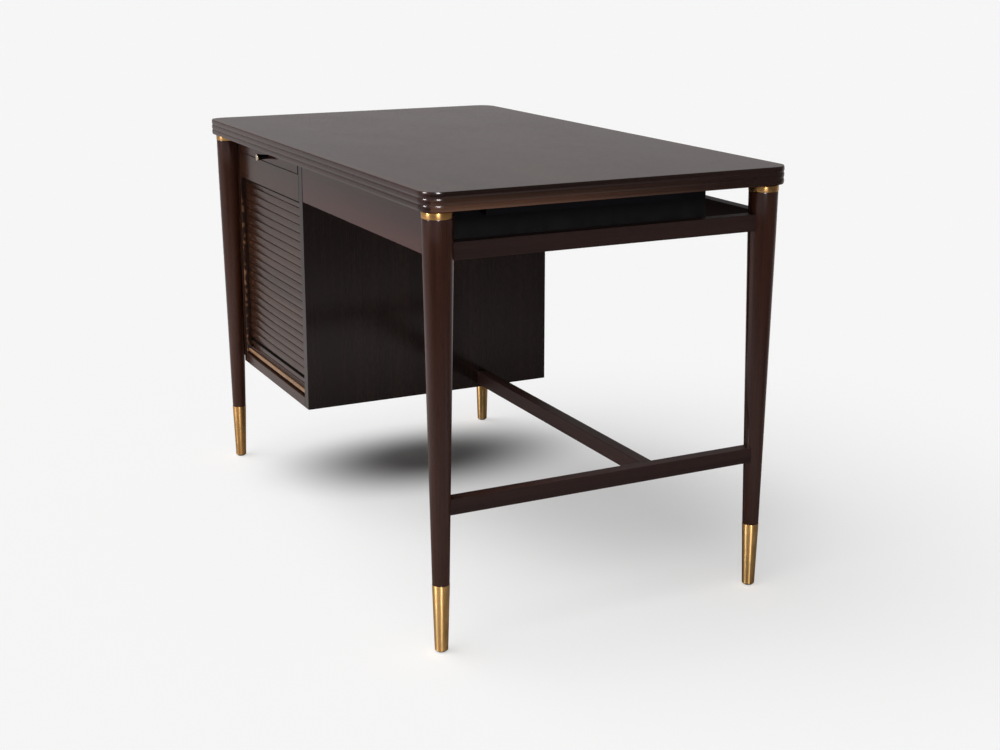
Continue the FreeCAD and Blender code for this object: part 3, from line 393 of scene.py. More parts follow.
def grain_group():
    """Straight open grain with slow bands, hairlines and pores; x runs along the grain, in metres."""
    tree, given, result = new_group(
        "Grain",
        [("Vector", "NodeSocketVector", None), ("Dark", "NodeSocketColor", None), ("Light", "NodeSocketColor", None),
         ("PaintedLight", "NodeSocketColor", None), ("Roughness", "NodeSocketFloat", 0.3), ("Pores", "NodeSocketFloat", 0.5),
         ("PaintedLightMask", "NodeSocketFloat", 0.0)],
        [("Color", "NodeSocketColor"), ("Roughness", "NodeSocketFloat"), ("Height", "NodeSocketFloat")])
    vector = given.outputs["Vector"]
    bands = stretched_noise(tree, vector, (0.9, 17.0, 17.0), 2.0, 0.5, 0.6)
    streaks = stretched_noise(tree, vector, (2.4, 120.0, 120.0), 3.0, 0.6)
    hairs = stretched_noise(tree, vector, (9.0, 620.0, 620.0), 2.0, 0.6)
    pores = spread(tree, stretched_noise(tree, vector, (46.0, 1500.0, 1500.0), 1.0, 0.5), 0.60, 0.72)
    tone = sums(tree, "ADD", sums(tree, "MULTIPLY", spread(tree, bands, 0.3, 0.7), 0.5),
                sums(tree, "MULTIPLY", spread(tree, streaks, 0.3, 0.7), 0.34))
    tone = sums(tree, "ADD", tone, sums(tree, "MULTIPLY", hairs, 0.22))
    pits = sums(tree, "MULTIPLY", pores, given.outputs["Pores"])
    stained = blend_colours(tree, tone, given.outputs["Dark"], given.outputs["Light"])
    deep = blend_colours(tree, pits, stained, PORE_COLOUR)
    # painted light: where the mask is high the grain's colour goes over to the painted light colour, and the lacquer
    # gets rougher
    painted_reflection = sums(tree, "MULTIPLY", given.outputs["PaintedLightMask"], spread(tree, streaks, 0.2, 0.6, 0.45, 1.0))
    tree.links.new(blend_colours(tree, painted_reflection, deep, given.outputs["PaintedLight"]), result.inputs["Color"])
    smudges = spread(tree, stretched_noise(tree, vector, (5.0, 7.0, 7.0), 3.0, 0.6), 0.35, 0.7, -0.012, 0.02)
    gloss = sums(tree, "ADD", given.outputs["Roughness"], smudges)
    gloss = sums(tree, "ADD", gloss, sums(tree, "MULTIPLY", sums(tree, "MAXIMUM", pits, painted_reflection), 0.15))
    tree.links.new(gloss, result.inputs["Roughness"])
    height = sums(tree, "SUBTRACT", sums(tree, "MULTIPLY", hairs, 0.25), pits)
    tree.links.new(height, result.inputs["Height"])
    return tree


def principled(name):
    material = bpy.data.materials.new(name)
    material.use_nodes = True
    tree = material.node_tree
    return material, tree, tree.nodes["Principled BSDF"]


def wood(name, grain, along, dark, light, roughness, pores=0.5, painted_light=None, ramps=(), gloss=0.5, highlight_specks=0,
         tint=(1.0, 0.94, 0.955)):
    """A wood finish whose grain runs along one axis of the desk, with painted light where all its ramps are high.

    A ramp is an axis, the place where it is 0 and the place where it is 1. The painted light is a lighter colour that
    stands in for highlights and reflections; highlight_specks, so many to the metre, break it up.
    """
    material, tree, shader = principled(name)
    place = put(tree, "ShaderNodeTexCoord")
    board = put(tree, "ShaderNodeMapping", {"Vector": place.outputs["Object"], "Rotation": GRAIN_TURNS[along]})
    made = put(tree, "ShaderNodeGroup", node_tree=grain)
    tree.links.new(board.outputs[0], made.inputs["Vector"])
    made.inputs["Dark"].default_value = (*dark, 1)
    made.inputs["Light"].default_value = (*light, 1)
    made.inputs["Roughness"].default_value = roughness
    made.inputs["Pores"].default_value = pores
    if painted_light:
        made.inputs["PaintedLight"].default_value = (*painted_light, 1)
        where = put(tree, "ShaderNodeSeparateXYZ", {0: place.outputs["Object"]})
        mask = 1.0
        if highlight_specks:
            mask = spread(tree, stretched_noise(tree, place.outputs["Object"], (highlight_specks, highlight_specks, highlight_specks)), 0.54, 0.64,
                          0.08, 1.0)
        for axis, none, full in ramps:
            mask = sums(tree, "MULTIPLY", spread(tree, where.outputs[axis], none, full), mask)
        tree.links.new(mask, made.inputs["PaintedLightMask"])
    tree.links.new(made.outputs["Color"], shader.inputs["Base Color"])
    tree.links.new(made.outputs["Roughness"], shader.inputs["Roughness"])
    emboss(tree, shader, made.outputs["Height"], strength=0.12, depth=0.4 * MM)
    shader.inputs["IOR"].default_value = 1.5
    shader.inputs["Specular IOR Level"].default_value = gloss
    shader.inputs["Specular Tint"].default_value = (*tint, 1)
    return material


def metal(name, bright, dull, roughness, rings, metallic=1.0, turned_marks=0.0, gloss=0.25):
    """A turned metal, or paint where metallic is 0, with fine rings and with dull patches.

    Turning marks round the upright axis draw its highlights out along that axis. Gloss is for paint alone.
    """
    material, tree, shader = principled(name)
    place = put(tree, "ShaderNodeTexCoord").outputs["Object"]
    turning = stretched_noise(tree, place, rings, 2.0)
    patches = spread(tree, stretched_noise(tree, place, (60.0, 60.0, 35.0), 4.0, 0.6), 0.42, 0.68)
    specks = spread(tree, stretched_noise(tree, place, (900.0, 900.0, 700.0), 2.0), 0.66, 0.74)
    mixed = blend_colours(tree, sums(tree, "MAXIMUM", sums(tree, "MULTIPLY", patches, 0.55), specks),
                          (*bright, 1), (*dull, 1))
    tree.links.new(mixed, shader.inputs["Base Color"])
    rough = sums(tree, "ADD", sums(tree, "MULTIPLY", patches, 0.12), sums(tree, "MULTIPLY", turning, 0.06))
    tree.links.new(sums(tree, "ADD", rough, roughness), shader.inputs["Roughness"])
    emboss(tree, shader, turning, strength=0.05, depth=0.3 * MM)
    shader.inputs["Metallic"].default_value = metallic
    shader.inputs["Specular IOR Level"].default_value = 0.5 if metallic else gloss
    if turned_marks:
        shader.inputs["Anisotropic"].default_value = turned_marks
        shader.inputs["Anisotropic Rotation"].default_value = 0.25
        round_axis = put(tree, "ShaderNodeTangent", direction_type="RADIAL", axis="Z")
        tree.links.new(round_axis.outputs[0], shader.inputs["Tangent"])
    return material


def woven(name, tint):
    """Plain-weave cloth, its threads over and under each other."""
    material, tree, shader = principled(name)
    place = put(tree, "ShaderNodeTexCoord").outputs["Object"]
    where = put(tree, "ShaderNodeSeparateXYZ", {0: place})
    across = sums(tree, "SINE", sums(tree, "MULTIPLY", where.outputs["X"], math.pi / THREAD), 0.0)
    upright = sums(tree, "SINE", sums(tree, "MULTIPLY", where.outputs["Z"], math.pi / THREAD), 0.0)
    threads = sums(tree, "MULTIPLY", across, upright)
    noise = put(tree, "ShaderNodeTexNoise", {"Vector": place, "Scale": 90.0, "Detail": 3.0})
    mask = sums(tree, "ADD", sums(tree, "MULTIPLY", threads, 0.25), noise.outputs["Fac"])
    tree.links.new(blend_colours(tree, mask, (*(c * 0.55 for c in tint), 1), (*(c * 1.2 for c in tint), 1)),
                   shader.inputs["Base Color"])
    tree.links.new(spread(tree, noise.outputs["Fac"], 0.3, 0.7, 0.82, 0.98), shader.inputs["Roughness"])
    emboss(tree, shader, threads, strength=0.6, depth=0.3 * MM)
    return material


def make_finishes(look):
    grain = grain_group()
    FINISHES["dark"] = wood("espresso_boards", grain, "x", look.stain_dark, look.stain_light, look.wood_gloss)
    # painted shade: the darker copy of the espresso stain
    FINISHES["side"] = wood("espresso_sides_painted_shade", grain, "z", look.shaded_side_dark, look.shaded_side_light, look.wood_gloss)
    FINISHES["edge"] = wood("espresso_edge", grain, "x", look.edge_dark, look.edge_light, look.wood_gloss)
    for along in "xy":
        FINISHES[f"inner_{along}"] = wood(f"plain_wood_along_{along}", grain, along, look.inner_dark,
                                          look.inner_light, 0.48, pores=0.25)
    FINISHES["leg"] = wood("espresso_legs", grain, "z", look.leg_dark, look.leg_light, look.wood_gloss)
    # painted light: the lighter, redder copy of the stain for the front boards
    FINISHES["front"] = wood("espresso_fronts_painted_light", grain, "x", look.lit_front_dark, look.lit_front_light, look.wood_gloss)
    FINISHES["slats"] = wood("espresso_slats", grain, "x", look.slat_dark, look.slat_light, look.wood_gloss,
                             tint=(1.0, 0.88, 0.82))
    # painted highlight: the front of the finger lip takes the lighter colour
    FINISHES["lead"] = wood("espresso_lead_bar", grain, "x", look.slat_dark, look.slat_light, look.wood_gloss,
                            painted_light=look.painted_light, ramps=(("Y", LEAD_LOW.y + 4.5 * MM, LEAD_LOW.y + 0.6 * MM),))
    # painted highlight: specks of lighter colour on the reveal beside the curtain
    FINISHES["side_left"] = wood("espresso_side_left_painted_highlight", grain, "z", look.stain_dark, look.stain_light,
                                 look.wood_gloss, painted_light=look.reveal, highlight_specks=75,
                                 ramps=(("X", SIDE_HIGH.x - 1.5 * MM, SIDE_HIGH.x - 0.5 * MM),
                                        ("Y", SIDE_LOW.y + 6 * MM, SIDE_LOW.y + 2 * MM),
                                        ("Z", SLATS_HIGH.z - 20 * MM, SLATS_HIGH.z - 120 * MM)))
    # painted reflection: the ends of the moulding are redder low down, at the right and towards the front
    FINISHES["edge_y"] = wood("espresso_edge_painted_reflection", grain, "y", look.stain_dark, look.stain_light,
                              look.wood_gloss, painted_light=look.painted_reflection,
                              ramps=(("X", 0.0, TOP_HIGH.x), ("Y", 0.2, -0.24),
                                     ("Z", TOP_LOW.z + 24 * MM, TOP_LOW.z - 10 * MM)))
    for along in "xy":
        FINISHES[f"rail_{along}"] = wood(f"espresso_rails_along_{along}", grain, along, look.rail_dark,
                                         look.rail_light, look.rail_gloss, gloss=0.28)
    # painted shade: the rear rail gets the darker copy of the stain, as shade under the top
    FINISHES["rear"] = wood("espresso_rear_rail", grain, "x", look.shaded_side_dark, look.shaded_side_light, look.rail_gloss,
                            gloss=0.28)
    # painted shade: the near-black colour of the drawer case under the top
    FINISHES["paint"] = metal("case_painted_shade", look.paint, look.case_shade_dull, 0.5, (300.0, 300.0, 300.0), metallic=0.0)
    # painted shade: the near-black colour for the rebate and the top slat
    FINISHES["groove"] = metal("groove_painted_shade", look.groove, look.groove_shade_dull, 0.7, (300.0, 300.0, 300.0),
                               metallic=0.0, gloss=0.06)
    FINISHES["brass"] = metal("polished_brass", look.brass_bright, look.brass_dull, 0.26, (40.0, 40.0, 2600.0),
                              turned_marks=0.95)
    # painted shade: the darker brass
    FINISHES["handled"] = metal("handled_brass", look.handled_bright, look.brass_dull, 0.24, (40.0, 40.0, 1400.0),
                                turned_marks=0.86)
    FINISHES["brass_cap"] = metal("brass_cap", look.cap_bright, look.brass_dull, 0.16, (900.0, 900.0, 900.0))
    FINISHES["steel"] = metal("plain_steel", look.steel, look.steel_dull, 0.3, (700.0, 700.0, 700.0))
    FINISHES["black"] = metal("black_enamel", look.black, look.black_dull, 0.2, (500.0, 500.0, 500.0), metallic=0.0)
    FINISHES["glide"] = metal("dark_glide", look.glide, look.glide_dull, 0.45, (600.0, 600.0, 600.0), metallic=0.0)
    FINISHES["canvas"] = woven("curtain_canvas", look.canvas)


BOARDS = {
    "dark": ("top_panel", "pedestal_shelf", "slide_board"),
    # painted light: boards given the lighter, redder copy of the stain
    "front": ("slide_lip", "drawer_front"),
    "slats": ("pedestal_floor", "pedestal_header"),
    "rear": ("rear_rail",),
    "rail_x": ("centre_stretcher",),
    "rail_y": ("end_rail_right", "end_stretcher"),
    # painted highlight: the left side carries the specked strip beside the curtain
    "side_left": ("pedestal_side_left",),
    # painted shade: the case pieces under the top take the near-black colour
    "paint": ("case_side", "case_back", "case_cleat"),
    # painted shade: boards given the darker copy of the stain
    "side": ("pedestal_side_right", "pedestal_back", "end_panel_left"),
    "inner_x": ("pedestal_ceiling", "drawer_back", "drawer_bottom", "slide_stops"),
    "inner_y": ("slide_runner_left", "slide_runner_right", "slide_kickers", "drawer_side_left", "drawer_side_right",
                "drawer_runner_left", "drawer_runner_right", "pedestal_battens"),
    "steel": ("leg_bolts", "stretcher_screws", "shelf_pins", "slide_pull_screw"),
}


class DESK_OT_finish_boards(bpy.types.Operator):
    """Makes the finishes and puts them on the boards that stay as they are"""
    bl_idname = "tambour_desk.finish_boards"
    bl_label = "Finish the boards"

    def execute(self, context):
        make_finishes(context.scene.desk_finishes)
        for finish, nodes in BOARDS.items():
            for name in nodes:
                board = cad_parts[name]
                board.data.materials.clear()
                board.data.materials.append(FINISHES[finish])
        return {"FINISHED"}


class DESK_OT_shape_top_edge(bpy.types.Operator):
    """Runs the reeded moulding round the top"""
    bl_idname = "tambour_desk.shape_top_edge"
    bl_label = "Shape the top's edge"

    def execute(self, context):
        sizes = context.scene.desk_sizes
        bead, corner = sizes.bead_height / 2, sizes.corner_radius
        radius = (bead * bead + sizes.bead_depth * sizes.bead_depth) / (2 * sizes.bead_depth)
        half, face = math.asin(bead / radius), TOP_LOW.y + sizes.bead_depth
        inner = TOP_LOW.y + sizes.edge_width
        run_x, run_y = TOP_HIGH.x - corner, TOP_HIGH.y - corner
        start = (run_x, inner, TOP_HIGH.z)
        edge = start_point("top_edge", start)
        trace([start, (run_x, face, TOP_HIGH.z)])
        beads = round((TOP_HIGH.z - TOP_LOW.z) / sizes.bead_pitch)
        height = TOP_HIGH.z
        for number in range(beads):
            middle = TOP_HIGH.z - (number + 0.5) * sizes.bead_pitch
            pull(0, 0, middle + bead - height)
            swing(2 * half, steps=12, centre=(run_x, TOP_LOW.y + radius, middle), axis=(1, 0, 0))
            height = middle - bead
        pull(0, 0, TOP_LOW.z - height)
        pull(0, inner - face, 0)
        pull(0, 0, TOP_HIGH.z - TOP_LOW.z)
        bpy.ops.mesh.select_all(action="SELECT")
        bpy.ops.mesh.remove_doubles(threshold=TOUCH)
        for x, y, step in ((run_x, -run_y, (0, 2 * run_y, 0)), (run_x, run_y, (-2 * run_x, 0, 0)),
                           (-run_x, run_y, (0, -2 * run_y, 0)), (-run_x, -run_y, (2 * run_x, 0, 0))):
            swing(math.pi / 2, steps=24, centre=(x, y, 0), axis=(0, 0, 1))
            pull(*step)
        close_up(edge, angle=50)
        settle(edge, "desk_frame", "dark_wood", FINISHES["edge"], "top_edge_front", "top_edge_back",
               "top_edge_left", "top_edge_right")
        mitre = run_y + 0.7 * corner
        # painted reflection: the ends of the moulding take the redder finish
        line(edge, FINISHES["edge_y"], lambda place: abs(place.x) > run_x + TOUCH and abs(place.y) < mitre)
        return {"FINISHED"}


class DESK_OT_turn_legs(bpy.types.Operator):
    """Turns the four tapered legs"""
    bl_idname = "tambour_desk.turn_legs"
    bl_label = "Turn the legs"

    def execute(self, context):
        sizes = context.scene.desk_sizes
        centre = (LEG_LOW + LEG_HIGH) / 2
        head = (LEG_HIGH.x - LEG_LOW.x) / 2
        foot, rise = FERRULE_HIGH.z, COLLAR_LOW.z
        inside = foot - sizes.leg_spigot
        profile = [(0, inside), (sizes.leg_foot_radius, inside), (sizes.leg_foot_radius, foot),
                   (sizes.leg_swell_radius, sizes.leg_swell_height), *reversed(eased(head, rise, LEG_EASE, -1)),
                   (sizes.leg_neck_radius, rise), (sizes.leg_neck_radius, LEG_HIGH.z), (0, LEG_HIGH.z)]
        first = close_up(turned("leg_turned_front_right", centre, profile))
        for corner in CORNERS:
            leg = at_corner(first, "leg_turned", corner)
            settle(leg, "desk_frame", "dark_wood", FINISHES["leg"], f"leg_{corner}")
        return {"FINISHED"}


class DESK_OT_turn_collars(bpy.types.Operator):
    """Turns the brass collars under the top"""
    bl_idname = "tambour_desk.turn_collars"
    bl_label = "Turn the collars"

    def execute(self, context):
        sizes = context.scene.desk_sizes
        centre = (COLLAR_LOW + COLLAR_HIGH) / 2
        outer = (COLLAR_HIGH.x - COLLAR_LOW.x) / 2
        low, high, bore = COLLAR_LOW.z, COLLAR_HIGH.z, sizes.leg_neck_radius
        profile = [(bore, low), *eased(outer, low, COLLAR_EASE, 1), *reversed(eased(outer, high, COLLAR_EASE, -1)),
                   (bore, high), (bore, low)]
        first = close_up(turned("collar_turned_front_right", centre, profile), angle=50)
        for corner in CORNERS:
            collar = at_corner(first, "collar_turned", corner)
            # painted shade: the collars take the darker brass
            settle(collar, "desk_frame", "brass", FINISHES["handled"], f"collar_{corner}")
        return {"FINISHED"}


class DESK_OT_turn_ferrules(bpy.types.Operator):
    """Turns the brass ferrules on the feet, and the glides under them"""
    bl_idname = "tambour_desk.turn_ferrules"
    bl_label = "Turn the ferrules"

    def execute(self, context):
        sizes = context.scene.desk_sizes
        centre = (FERRULE_LOW + FERRULE_HIGH) / 2
        low, high, foot, head = FERRULE_LOW.z, FERRULE_HIGH.z, sizes.ferrule_foot_radius, sizes.ferrule_head_radius
        profile = [(0, low), *eased(foot, low, FERRULE_FOOT_EASE, 1),
                   *reversed(eased(head, high, FERRULE_HEAD_EASE, -1)), (0, high)]
        first = close_up(turned("ferrule_turned_front_right", centre, profile), angle=50)
        dome = [(0, 0), *((sizes.glide_radius * across, low * up) for across, up in GLIDE_DOME), (0, low)]
        pad = close_up(turned("glide_front_right", centre, dome, steps=40), angle=50)
        for corner in CORNERS:
            ferrule = at_corner(first, "ferrule_turned", corner)
            glide = at_corner(pad, "glide", corner)
            # painted shade: the left front ferrule takes the darker brass
            brass = FINISHES["handled" if corner == "front_left" else "brass"]
            settle(ferrule, "desk_frame", "brass", brass, f"ferrule_{corner}")
            settle(glide, "desk_frame", "glide", FINISHES["glide"], "foot_glides")
        return {"FINISHED"}


def run_tongues(piece, left, right, sizes):
    """Draws the tongues that run in the tracks out of both ends of a bar."""
    for end, step in ((left, -sizes.tongue_length), (right, sizes.tongue_length)):
        select_parts(piece, "FACE", lambda place: abs(place.x - end) < TOUCH)
        bpy.ops.mesh.inset(thickness=sizes.tongue_step, depth=0)
        pull(step, 0, 0)


class DESK_OT_hang_curtain(bpy.types.Operator):
    """Makes the crowned slats and the canvas that carries them"""
    bl_idname = "tambour_desk.hang_curtain"
    bl_label = "Hang the curtain"

    def execute(self, context):
        sizes = context.scene.desk_sizes
        left, right = SLATS_LOW.x + sizes.tongue_length, SLATS_HIGH.x - sizes.tongue_length
        low, back, front = SLATS_LOW.z, SLATS_HIGH.y, SLATS_LOW.y
        pitch = (SLATS_HIGH.z - low + sizes.slat_gap) / sizes.slat_count
        height, radius = pitch - sizes.slat_gap, sizes.slat_face_radius
        half = math.asin(height / 2 / radius)
        shoulder = front + radius - radius * math.cos(half)
        slat = start_point("tambour_curtain", (left, back, low))
        pull(0, shoulder - back, 0)
        swing(-2 * half, steps=12, centre=(left, front + radius, low + height / 2), axis=(1, 0, 0))
        pull(0, back - shoulder, 0)
        bpy.ops.mesh.select_all(action="SELECT")
        bpy.ops.mesh.edge_face_add()
        pull(right - left, 0, 0)
        run_tongues(slat, left, right, sizes)
        select_parts(slat, "EDGE", lambda place: abs(place.y - shoulder) < TOUCH)
        bpy.ops.mesh.bevel(offset=sizes.slat_arris, segments=2)
        bpy.ops.object.mode_set(mode="OBJECT")
        rows = slat.modifiers.new("rows", "ARRAY")
        rows.use_relative_offset = False
        rows.use_constant_offset = True
        rows.constant_offset_displace = (0, 0, pitch)
        rows.count = sizes.slat_count
        bpy.ops.object.modifier_apply(modifier="rows")
        close_up(slat)
        settle(slat, "desk_frame", "dark_wood", FINISHES["slats"], "tambour_slats")
        # painted shade: the top of the upper slat is coloured near-black, as shade under the header
        line(slat, FINISHES["groove"], lambda place: place.z > SLATS_HIGH.z - sizes.slat_painted_shade)
        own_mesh(slat)

        cloth = start_point("tambour_cloth", CANVAS_LOW)
        pull(CANVAS_HIGH.x - CANVAS_LOW.x, 0, 0)
        bpy.ops.mesh.select_all(action="SELECT")
        pull(0, 0, CANVAS_HIGH.z - CANVAS_LOW.z)
        bpy.ops.mesh.select_all(action="SELECT")
        bpy.ops.mesh.subdivide(number_cuts=20)
        pull(0, CANVAS_HIGH.y - CANVAS_LOW.y, 0)
        close_up(cloth)
        settle(cloth, "desk_frame", "canvas", FINISHES["canvas"], "tambour_canvas")
        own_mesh(cloth)
        return {"FINISHED"}


class DESK_OT_shape_lead_bar(bpy.types.Operator):
    """Shapes the lead bar with its finger cove"""
    bl_idname = "tambour_desk.shape_lead_bar"
    bl_label = "Shape the lead bar"

    def execute(self, context):
        sizes = context.scene.desk_sizes
        left, right = LEAD_LOW.x + sizes.tongue_length, LEAD_HIGH.x - sizes.tongue_length
        foot, head, lip, back = LEAD_LOW.z, LEAD_HIGH.z, LEAD_LOW.y, LEAD_HIGH.y
        face = lip + sizes.lip_reach
        half = math.asin(sizes.cove_height / 2 / sizes.cove_radius)
        lip_foot, lip_head = foot + sizes.lip_rise, foot + sizes.lip_rise + sizes.lip_height
        middle = lip_head + sizes.cove_height / 2
        bar = start_point("tambour_lead", (left, back, foot))
        trace([(left, back, foot), (left, face, foot), (left, face, lip_foot), (left, lip, lip_foot),
               (left, lip, lip_head), (left, face, lip_head)])
        swing(2 * half, steps=16, centre=(left, face - sizes.cove_radius * math.cos(half), middle), axis=(1, 0, 0))
        trace([(left, face, lip_head + sizes.cove_height), (left, face, head - sizes.groove),
               (left, face + sizes.groove, head - sizes.groove), (left, face + sizes.groove, head), (left, back, head)])
        bpy.ops.mesh.select_all(action="SELECT")
        bpy.ops.mesh.edge_face_add()
        pull(right - left, 0, 0)
        run_tongues(bar, left, right, sizes)
        select_parts(bar, "EDGE", lambda place: place.y < lip + TOUCH)
        bpy.ops.mesh.bevel(offset=sizes.lip_arris, segments=5)
        close_up(bar)
        settle(bar, "tambour_lead", "dark_wood", FINISHES["lead"], "tambour_lead_bar")
        # painted shade: the rebate along the top of the lead bar is coloured near-black
        line(bar, FINISHES["groove"], lambda place: place.y > face - TOUCH and place.z > head - sizes.groove - TOUCH)
        return {"FINISHED"}


class DESK_OT_turn_pull(bpy.types.Operator):
    """Turns the flared pull of the writing slide, and its brass cap"""
    bl_idname = "tambour_desk.turn_pull"
    bl_label = "Turn the pull"

    def execute(self, context):
        sizes = context.scene.desk_sizes
        middle = (PULL_LOW + PULL_HIGH) / 2
        lip, shoulder, tip = PULL_HIGH.y, CAP_HIGH.y, CAP_LOW.y
        neck, head = sizes.pull_neck_radius, (PULL_HIGH.x - PULL_LOW.x) / 2
        flare = lip - sizes.pull_neck_length
        curve = [(neck + (head - neck) * step ** 1.15, flare + (shoulder - flare) * step)
                 for step in (0.2, 0.4, 0.6, 0.8, 1.0)]
        self.turn("slide_pull_turned", middle, [(0, lip), (neck, lip), (neck, flare), *curve, (0, shoulder)],
                  "black_metal", FINISHES["black"], "slide_pull")
        disc = (CAP_HIGH.x - CAP_LOW.x) / 2
        self.turn("slide_pull_cap_turned", middle,
                  [(0, shoulder), (disc, shoulder), *reversed(eased(disc, tip, CAP_EASE, 1)), (disc / 2, tip),
                   (0, tip)],
                  "brass", FINISHES["brass_cap"], "slide_pull_cap")
        return {"FINISHED"}

    def turn(self, name, middle, profile, slot, material, node):
        points = [(middle.x, place, middle.z + radius) for radius, place in profile]
        piece = start_point(name, points[0])
        trace(points)
        bpy.ops.mesh.select_all(action="SELECT")
        swing(math.tau, steps=40, centre=(middle.x, 0, middle.z), axis=(0, 1, 0))
        settle(close_up(piece, angle=45), "writing_slide", slot, material, node)


class DESK_OT_set_stage(bpy.types.Operator):
    """Lays the floor and sets the camera and the light"""
    bl_idname = "tambour_desk.set_stage"
    bl_label = "Set the stage"

    def execute(self, context):
        stage = context.scene.desk_stage
        clear_selection()
        bpy.ops.mesh.primitive_plane_add(size=240)
        floor = context.object
        floor.name = floor.data.name = "pale_floor"
        material, tree, shader = principled("pale_floor")
        place = put(tree, "ShaderNodeTexCoord").outputs["Object"]
        path = put(tree, "ShaderNodeLightPath")
        # painted reflection and shade: in glossy rays the floor is darker to the right and round the desk, and lighter
        # before the desk's right corner
        far = self.room(tree, place, sides=(-0.2, 1.3, 0.62, 0.14), front=(-0.3, 0.2, 0.55), fading=(1.0, 2.6),
                        shade=(0.6, 1.5, 0.4))
        far = put(tree, "ShaderNodeVectorMath", {0: stage.room_tint, "Scale": far}, operation="SCALE")
        paint = blend_colours(tree, path.outputs["Is Glossy Ray"], (*stage.floor_colour, 1), far.outputs[0])
        tree.links.new(blend_colours(tree, path.outputs["Is Camera Ray"], paint, (*stage.floor_seen, 1)),
                       shader.inputs["Base Color"])
        # painted shadow: the floor's glow for the camera is lowered under the pedestal and behind the knee space
        painted_shadow_under_pedestal = self.painted_shadow(tree, place, centre=(-0.35, 0.07), reach=(0.22, 0.36), least=0.04)
        painted_shadow_behind_knees = self.painted_shadow(tree, place, centre=(0.08, 0.30), reach=(0.45, 0.40), least=0.76)
        glow_less_painted_shadow = sums(tree, "MULTIPLY", sums(tree, "MULTIPLY", painted_shadow_under_pedestal, painted_shadow_behind_knees), stage.floor_glow)
        shader.inputs["Emission Color"].default_value = (1, 1, 1, 1)
        tree.links.new(sums(tree, "MULTIPLY", glow_less_painted_shadow, path.outputs["Is Camera Ray"]), shader.inputs["Emission Strength"])
        shader.inputs["Roughness"].default_value = 0.9
        shader.inputs["Specular IOR Level"].default_value = 0.0
        floor.data.materials.append(material)

        for name, azimuth, height, strength, width in (("broad_lamp", -18, 62, stage.key, 60),
                                                       ("spark_lamp_left", -7, 24, stage.left_spark, 21),
                                                       ("spark_lamp_right", 72, 26, stage.right_spark, 18)):
            bpy.ops.object.light_add(type="SUN", rotation=(math.radians(90 - height), 0, math.radians(azimuth)))
            lamp = context.object
            lamp.name = lamp.data.name = name
            lamp.data.energy = strength
            lamp.data.angle = math.radians(width)
            lamp.visible_diffuse = name == "broad_lamp"

        world = context.scene.world or bpy.data.worlds.new("studio")
        context.scene.world = world
        world.use_nodes = True
        tree = world.node_tree
        tree.nodes.clear()
        path = put(tree, "ShaderNodeLightPath")
        shown = self.room(tree, put(tree, "ShaderNodeTexCoord").outputs["Generated"], sides=(-1, 1, 0.34, 0.13),
                          front=(0.3, 0.8, 0.25), fading=(1.0, 9.0), shade=(0.0, 0.5, 1.0))
        mirrored = sums(tree, "MAXIMUM", path.outputs["Is Glossy Ray"], path.outputs["Is Transmission Ray"])
        bright = put(tree, "ShaderNodeMix", {0: mirrored, 2: stage.ambient, 3: shown}).outputs[0]
        bright = put(tree, "ShaderNodeMix", {0: path.outputs["Is Camera Ray"], 2: bright, 3: stage.backdrop}).outputs[0]
        hue = blend_colours(tree, mirrored, (1, 1, 1, 1), (*stage.room_tint, 1))
        glow = put(tree, "ShaderNodeBackground", {"Color": hue, "Strength": bright})
        put(tree, "ShaderNodeOutputWorld", {"Surface": glow.outputs[0]})

        bpy.ops.object.camera_add(location=stage.camera_place,
                                  rotation=(math.pi / 2 - stage.camera_dip, 0, stage.camera_azimuth))
        camera = context.object
        camera.data.lens = stage.lens
        camera.data.sensor_width = 36
        camera.data.shift_y = stage.camera_shift
        camera.data.clip_end = 400
        context.scene.camera = camera
        context.scene.view_settings.view_transform = "Standard"
        return {"FINISHED"}

    def painted_shadow(self, tree, place, centre, reach, least):
        """Painted shadow on the floor: a patch that is least in its core, and 1 beyond its rim."""
        core, rim = 0.2, 1.2  # shares of its reach
        offset = put(tree, "ShaderNodeVectorMath", {0: place, 1: (*centre, 0)}, operation="SUBTRACT").outputs[0]
        offset = put(tree, "ShaderNodeVectorMath", {0: offset, 1: (*reach, 1)}, operation="DIVIDE").outputs[0]
        away = put(tree, "ShaderNodeVectorMath", {0: offset}, operation="LENGTH").outputs["Value"]
        return spread(tree, away, core, rim, least, 1.0, "SMOOTHSTEP")

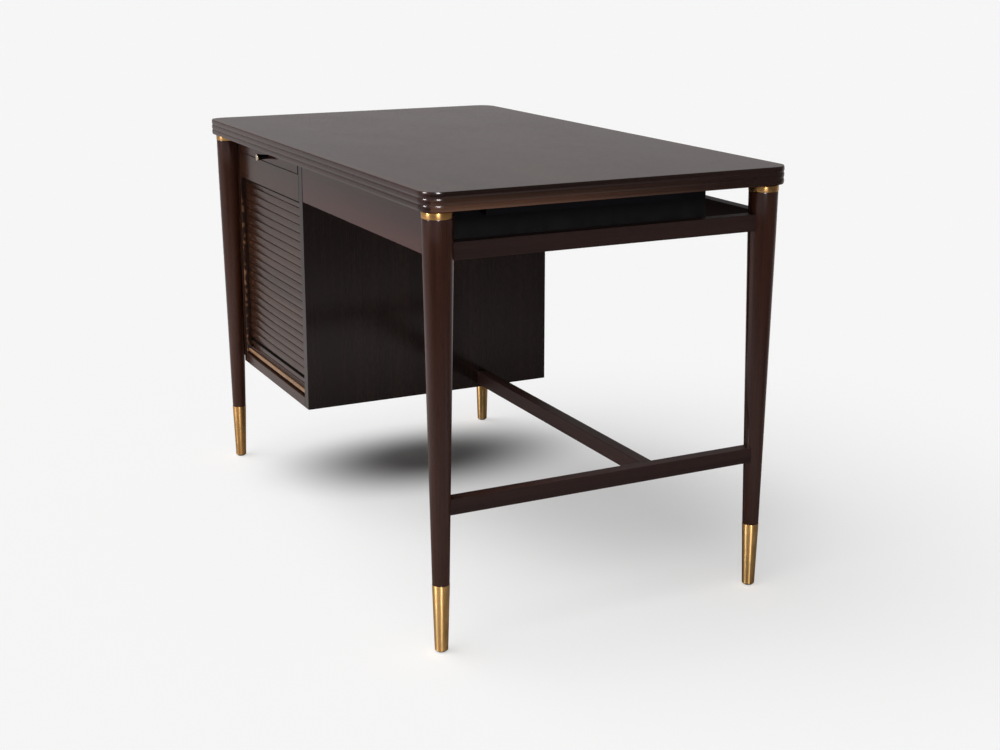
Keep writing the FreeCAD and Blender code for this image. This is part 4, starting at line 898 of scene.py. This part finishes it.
    def room(self, tree, place, sides, front, fading, shade):
        """How bright the room is in reflections.

        Sides: two places from left to right, and the brightness at each. Front: where the extra light before the
        desk's right corner begins and is full, and how much it is; fading: how far off it wanes. Shade: how near and
        how far the dimming round the desk goes, and what it leaves at the desk.
        """
        across = put(tree, "ShaderNodeSeparateXYZ", {0: place}).outputs["X"]
        right_front = (0.5, -0.866, 0)
        ahead = put(tree, "ShaderNodeVectorMath", {0: place, 1: right_front}, operation="DOT_PRODUCT")
        near, full, more = front
        away = put(tree, "ShaderNodeVectorMath", {0: place}, operation="LENGTH").outputs["Value"]
        lit = sums(tree, "MULTIPLY", spread(tree, ahead.outputs["Value"], near, full, 0.0, more),
                   spread(tree, away, *fading, 1.0, 0.0))
        near, full, least = shade
        return sums(tree, "MULTIPLY", sums(tree, "ADD", spread(tree, across, *sides), lit),
                    spread(tree, away, near, full, least, 1.0))


OPERATORS = (DESK_OT_finish_boards, DESK_OT_shape_top_edge, DESK_OT_turn_legs, DESK_OT_turn_collars,
             DESK_OT_turn_ferrules, DESK_OT_hang_curtain, DESK_OT_shape_lead_bar, DESK_OT_turn_pull,
             DESK_OT_set_stage)


class DESK_PT_pieces(bpy.types.Panel):
    """The desk's pieces and finishes"""
    bl_idname = "DESK_PT_pieces"
    bl_label = "Tambour desk"
    bl_space_type = "VIEW_3D"
    bl_region_type = "UI"
    bl_category = "Desk"

    def draw(self, context):
        for operator in OPERATORS:
            self.layout.operator(operator.bl_idname)
        for group in (context.scene.desk_sizes, context.scene.desk_finishes, context.scene.desk_stage):
            box = self.layout.box()
            for name in group.__annotations__:
                box.prop(group, name)


CLASSES = (DeskSizes, DeskFinishes, DeskStage, *OPERATORS, DESK_PT_pieces)


def register():
    for each in CLASSES:
        bpy.utils.register_class(each)
    bpy.types.Scene.desk_sizes = bpy.props.PointerProperty(type=DeskSizes)
    bpy.types.Scene.desk_finishes = bpy.props.PointerProperty(type=DeskFinishes)
    bpy.types.Scene.desk_stage = bpy.props.PointerProperty(type=DeskStage)


def unregister():
    del bpy.types.Scene.desk_sizes, bpy.types.Scene.desk_finishes, bpy.types.Scene.desk_stage
    for each in reversed(CLASSES):
        bpy.utils.unregister_class(each)


def main():
    register()
    bpy.ops.tambour_desk.finish_boards()
    bpy.ops.tambour_desk.shape_top_edge()
    bpy.ops.tambour_desk.turn_legs()
    bpy.ops.tambour_desk.turn_collars()
    bpy.ops.tambour_desk.turn_ferrules()
    bpy.ops.tambour_desk.hang_curtain()
    bpy.ops.tambour_desk.shape_lead_bar()
    bpy.ops.tambour_desk.turn_pull()
    bpy.ops.tambour_desk.set_stage()


if __name__ == "__main__":
    main()
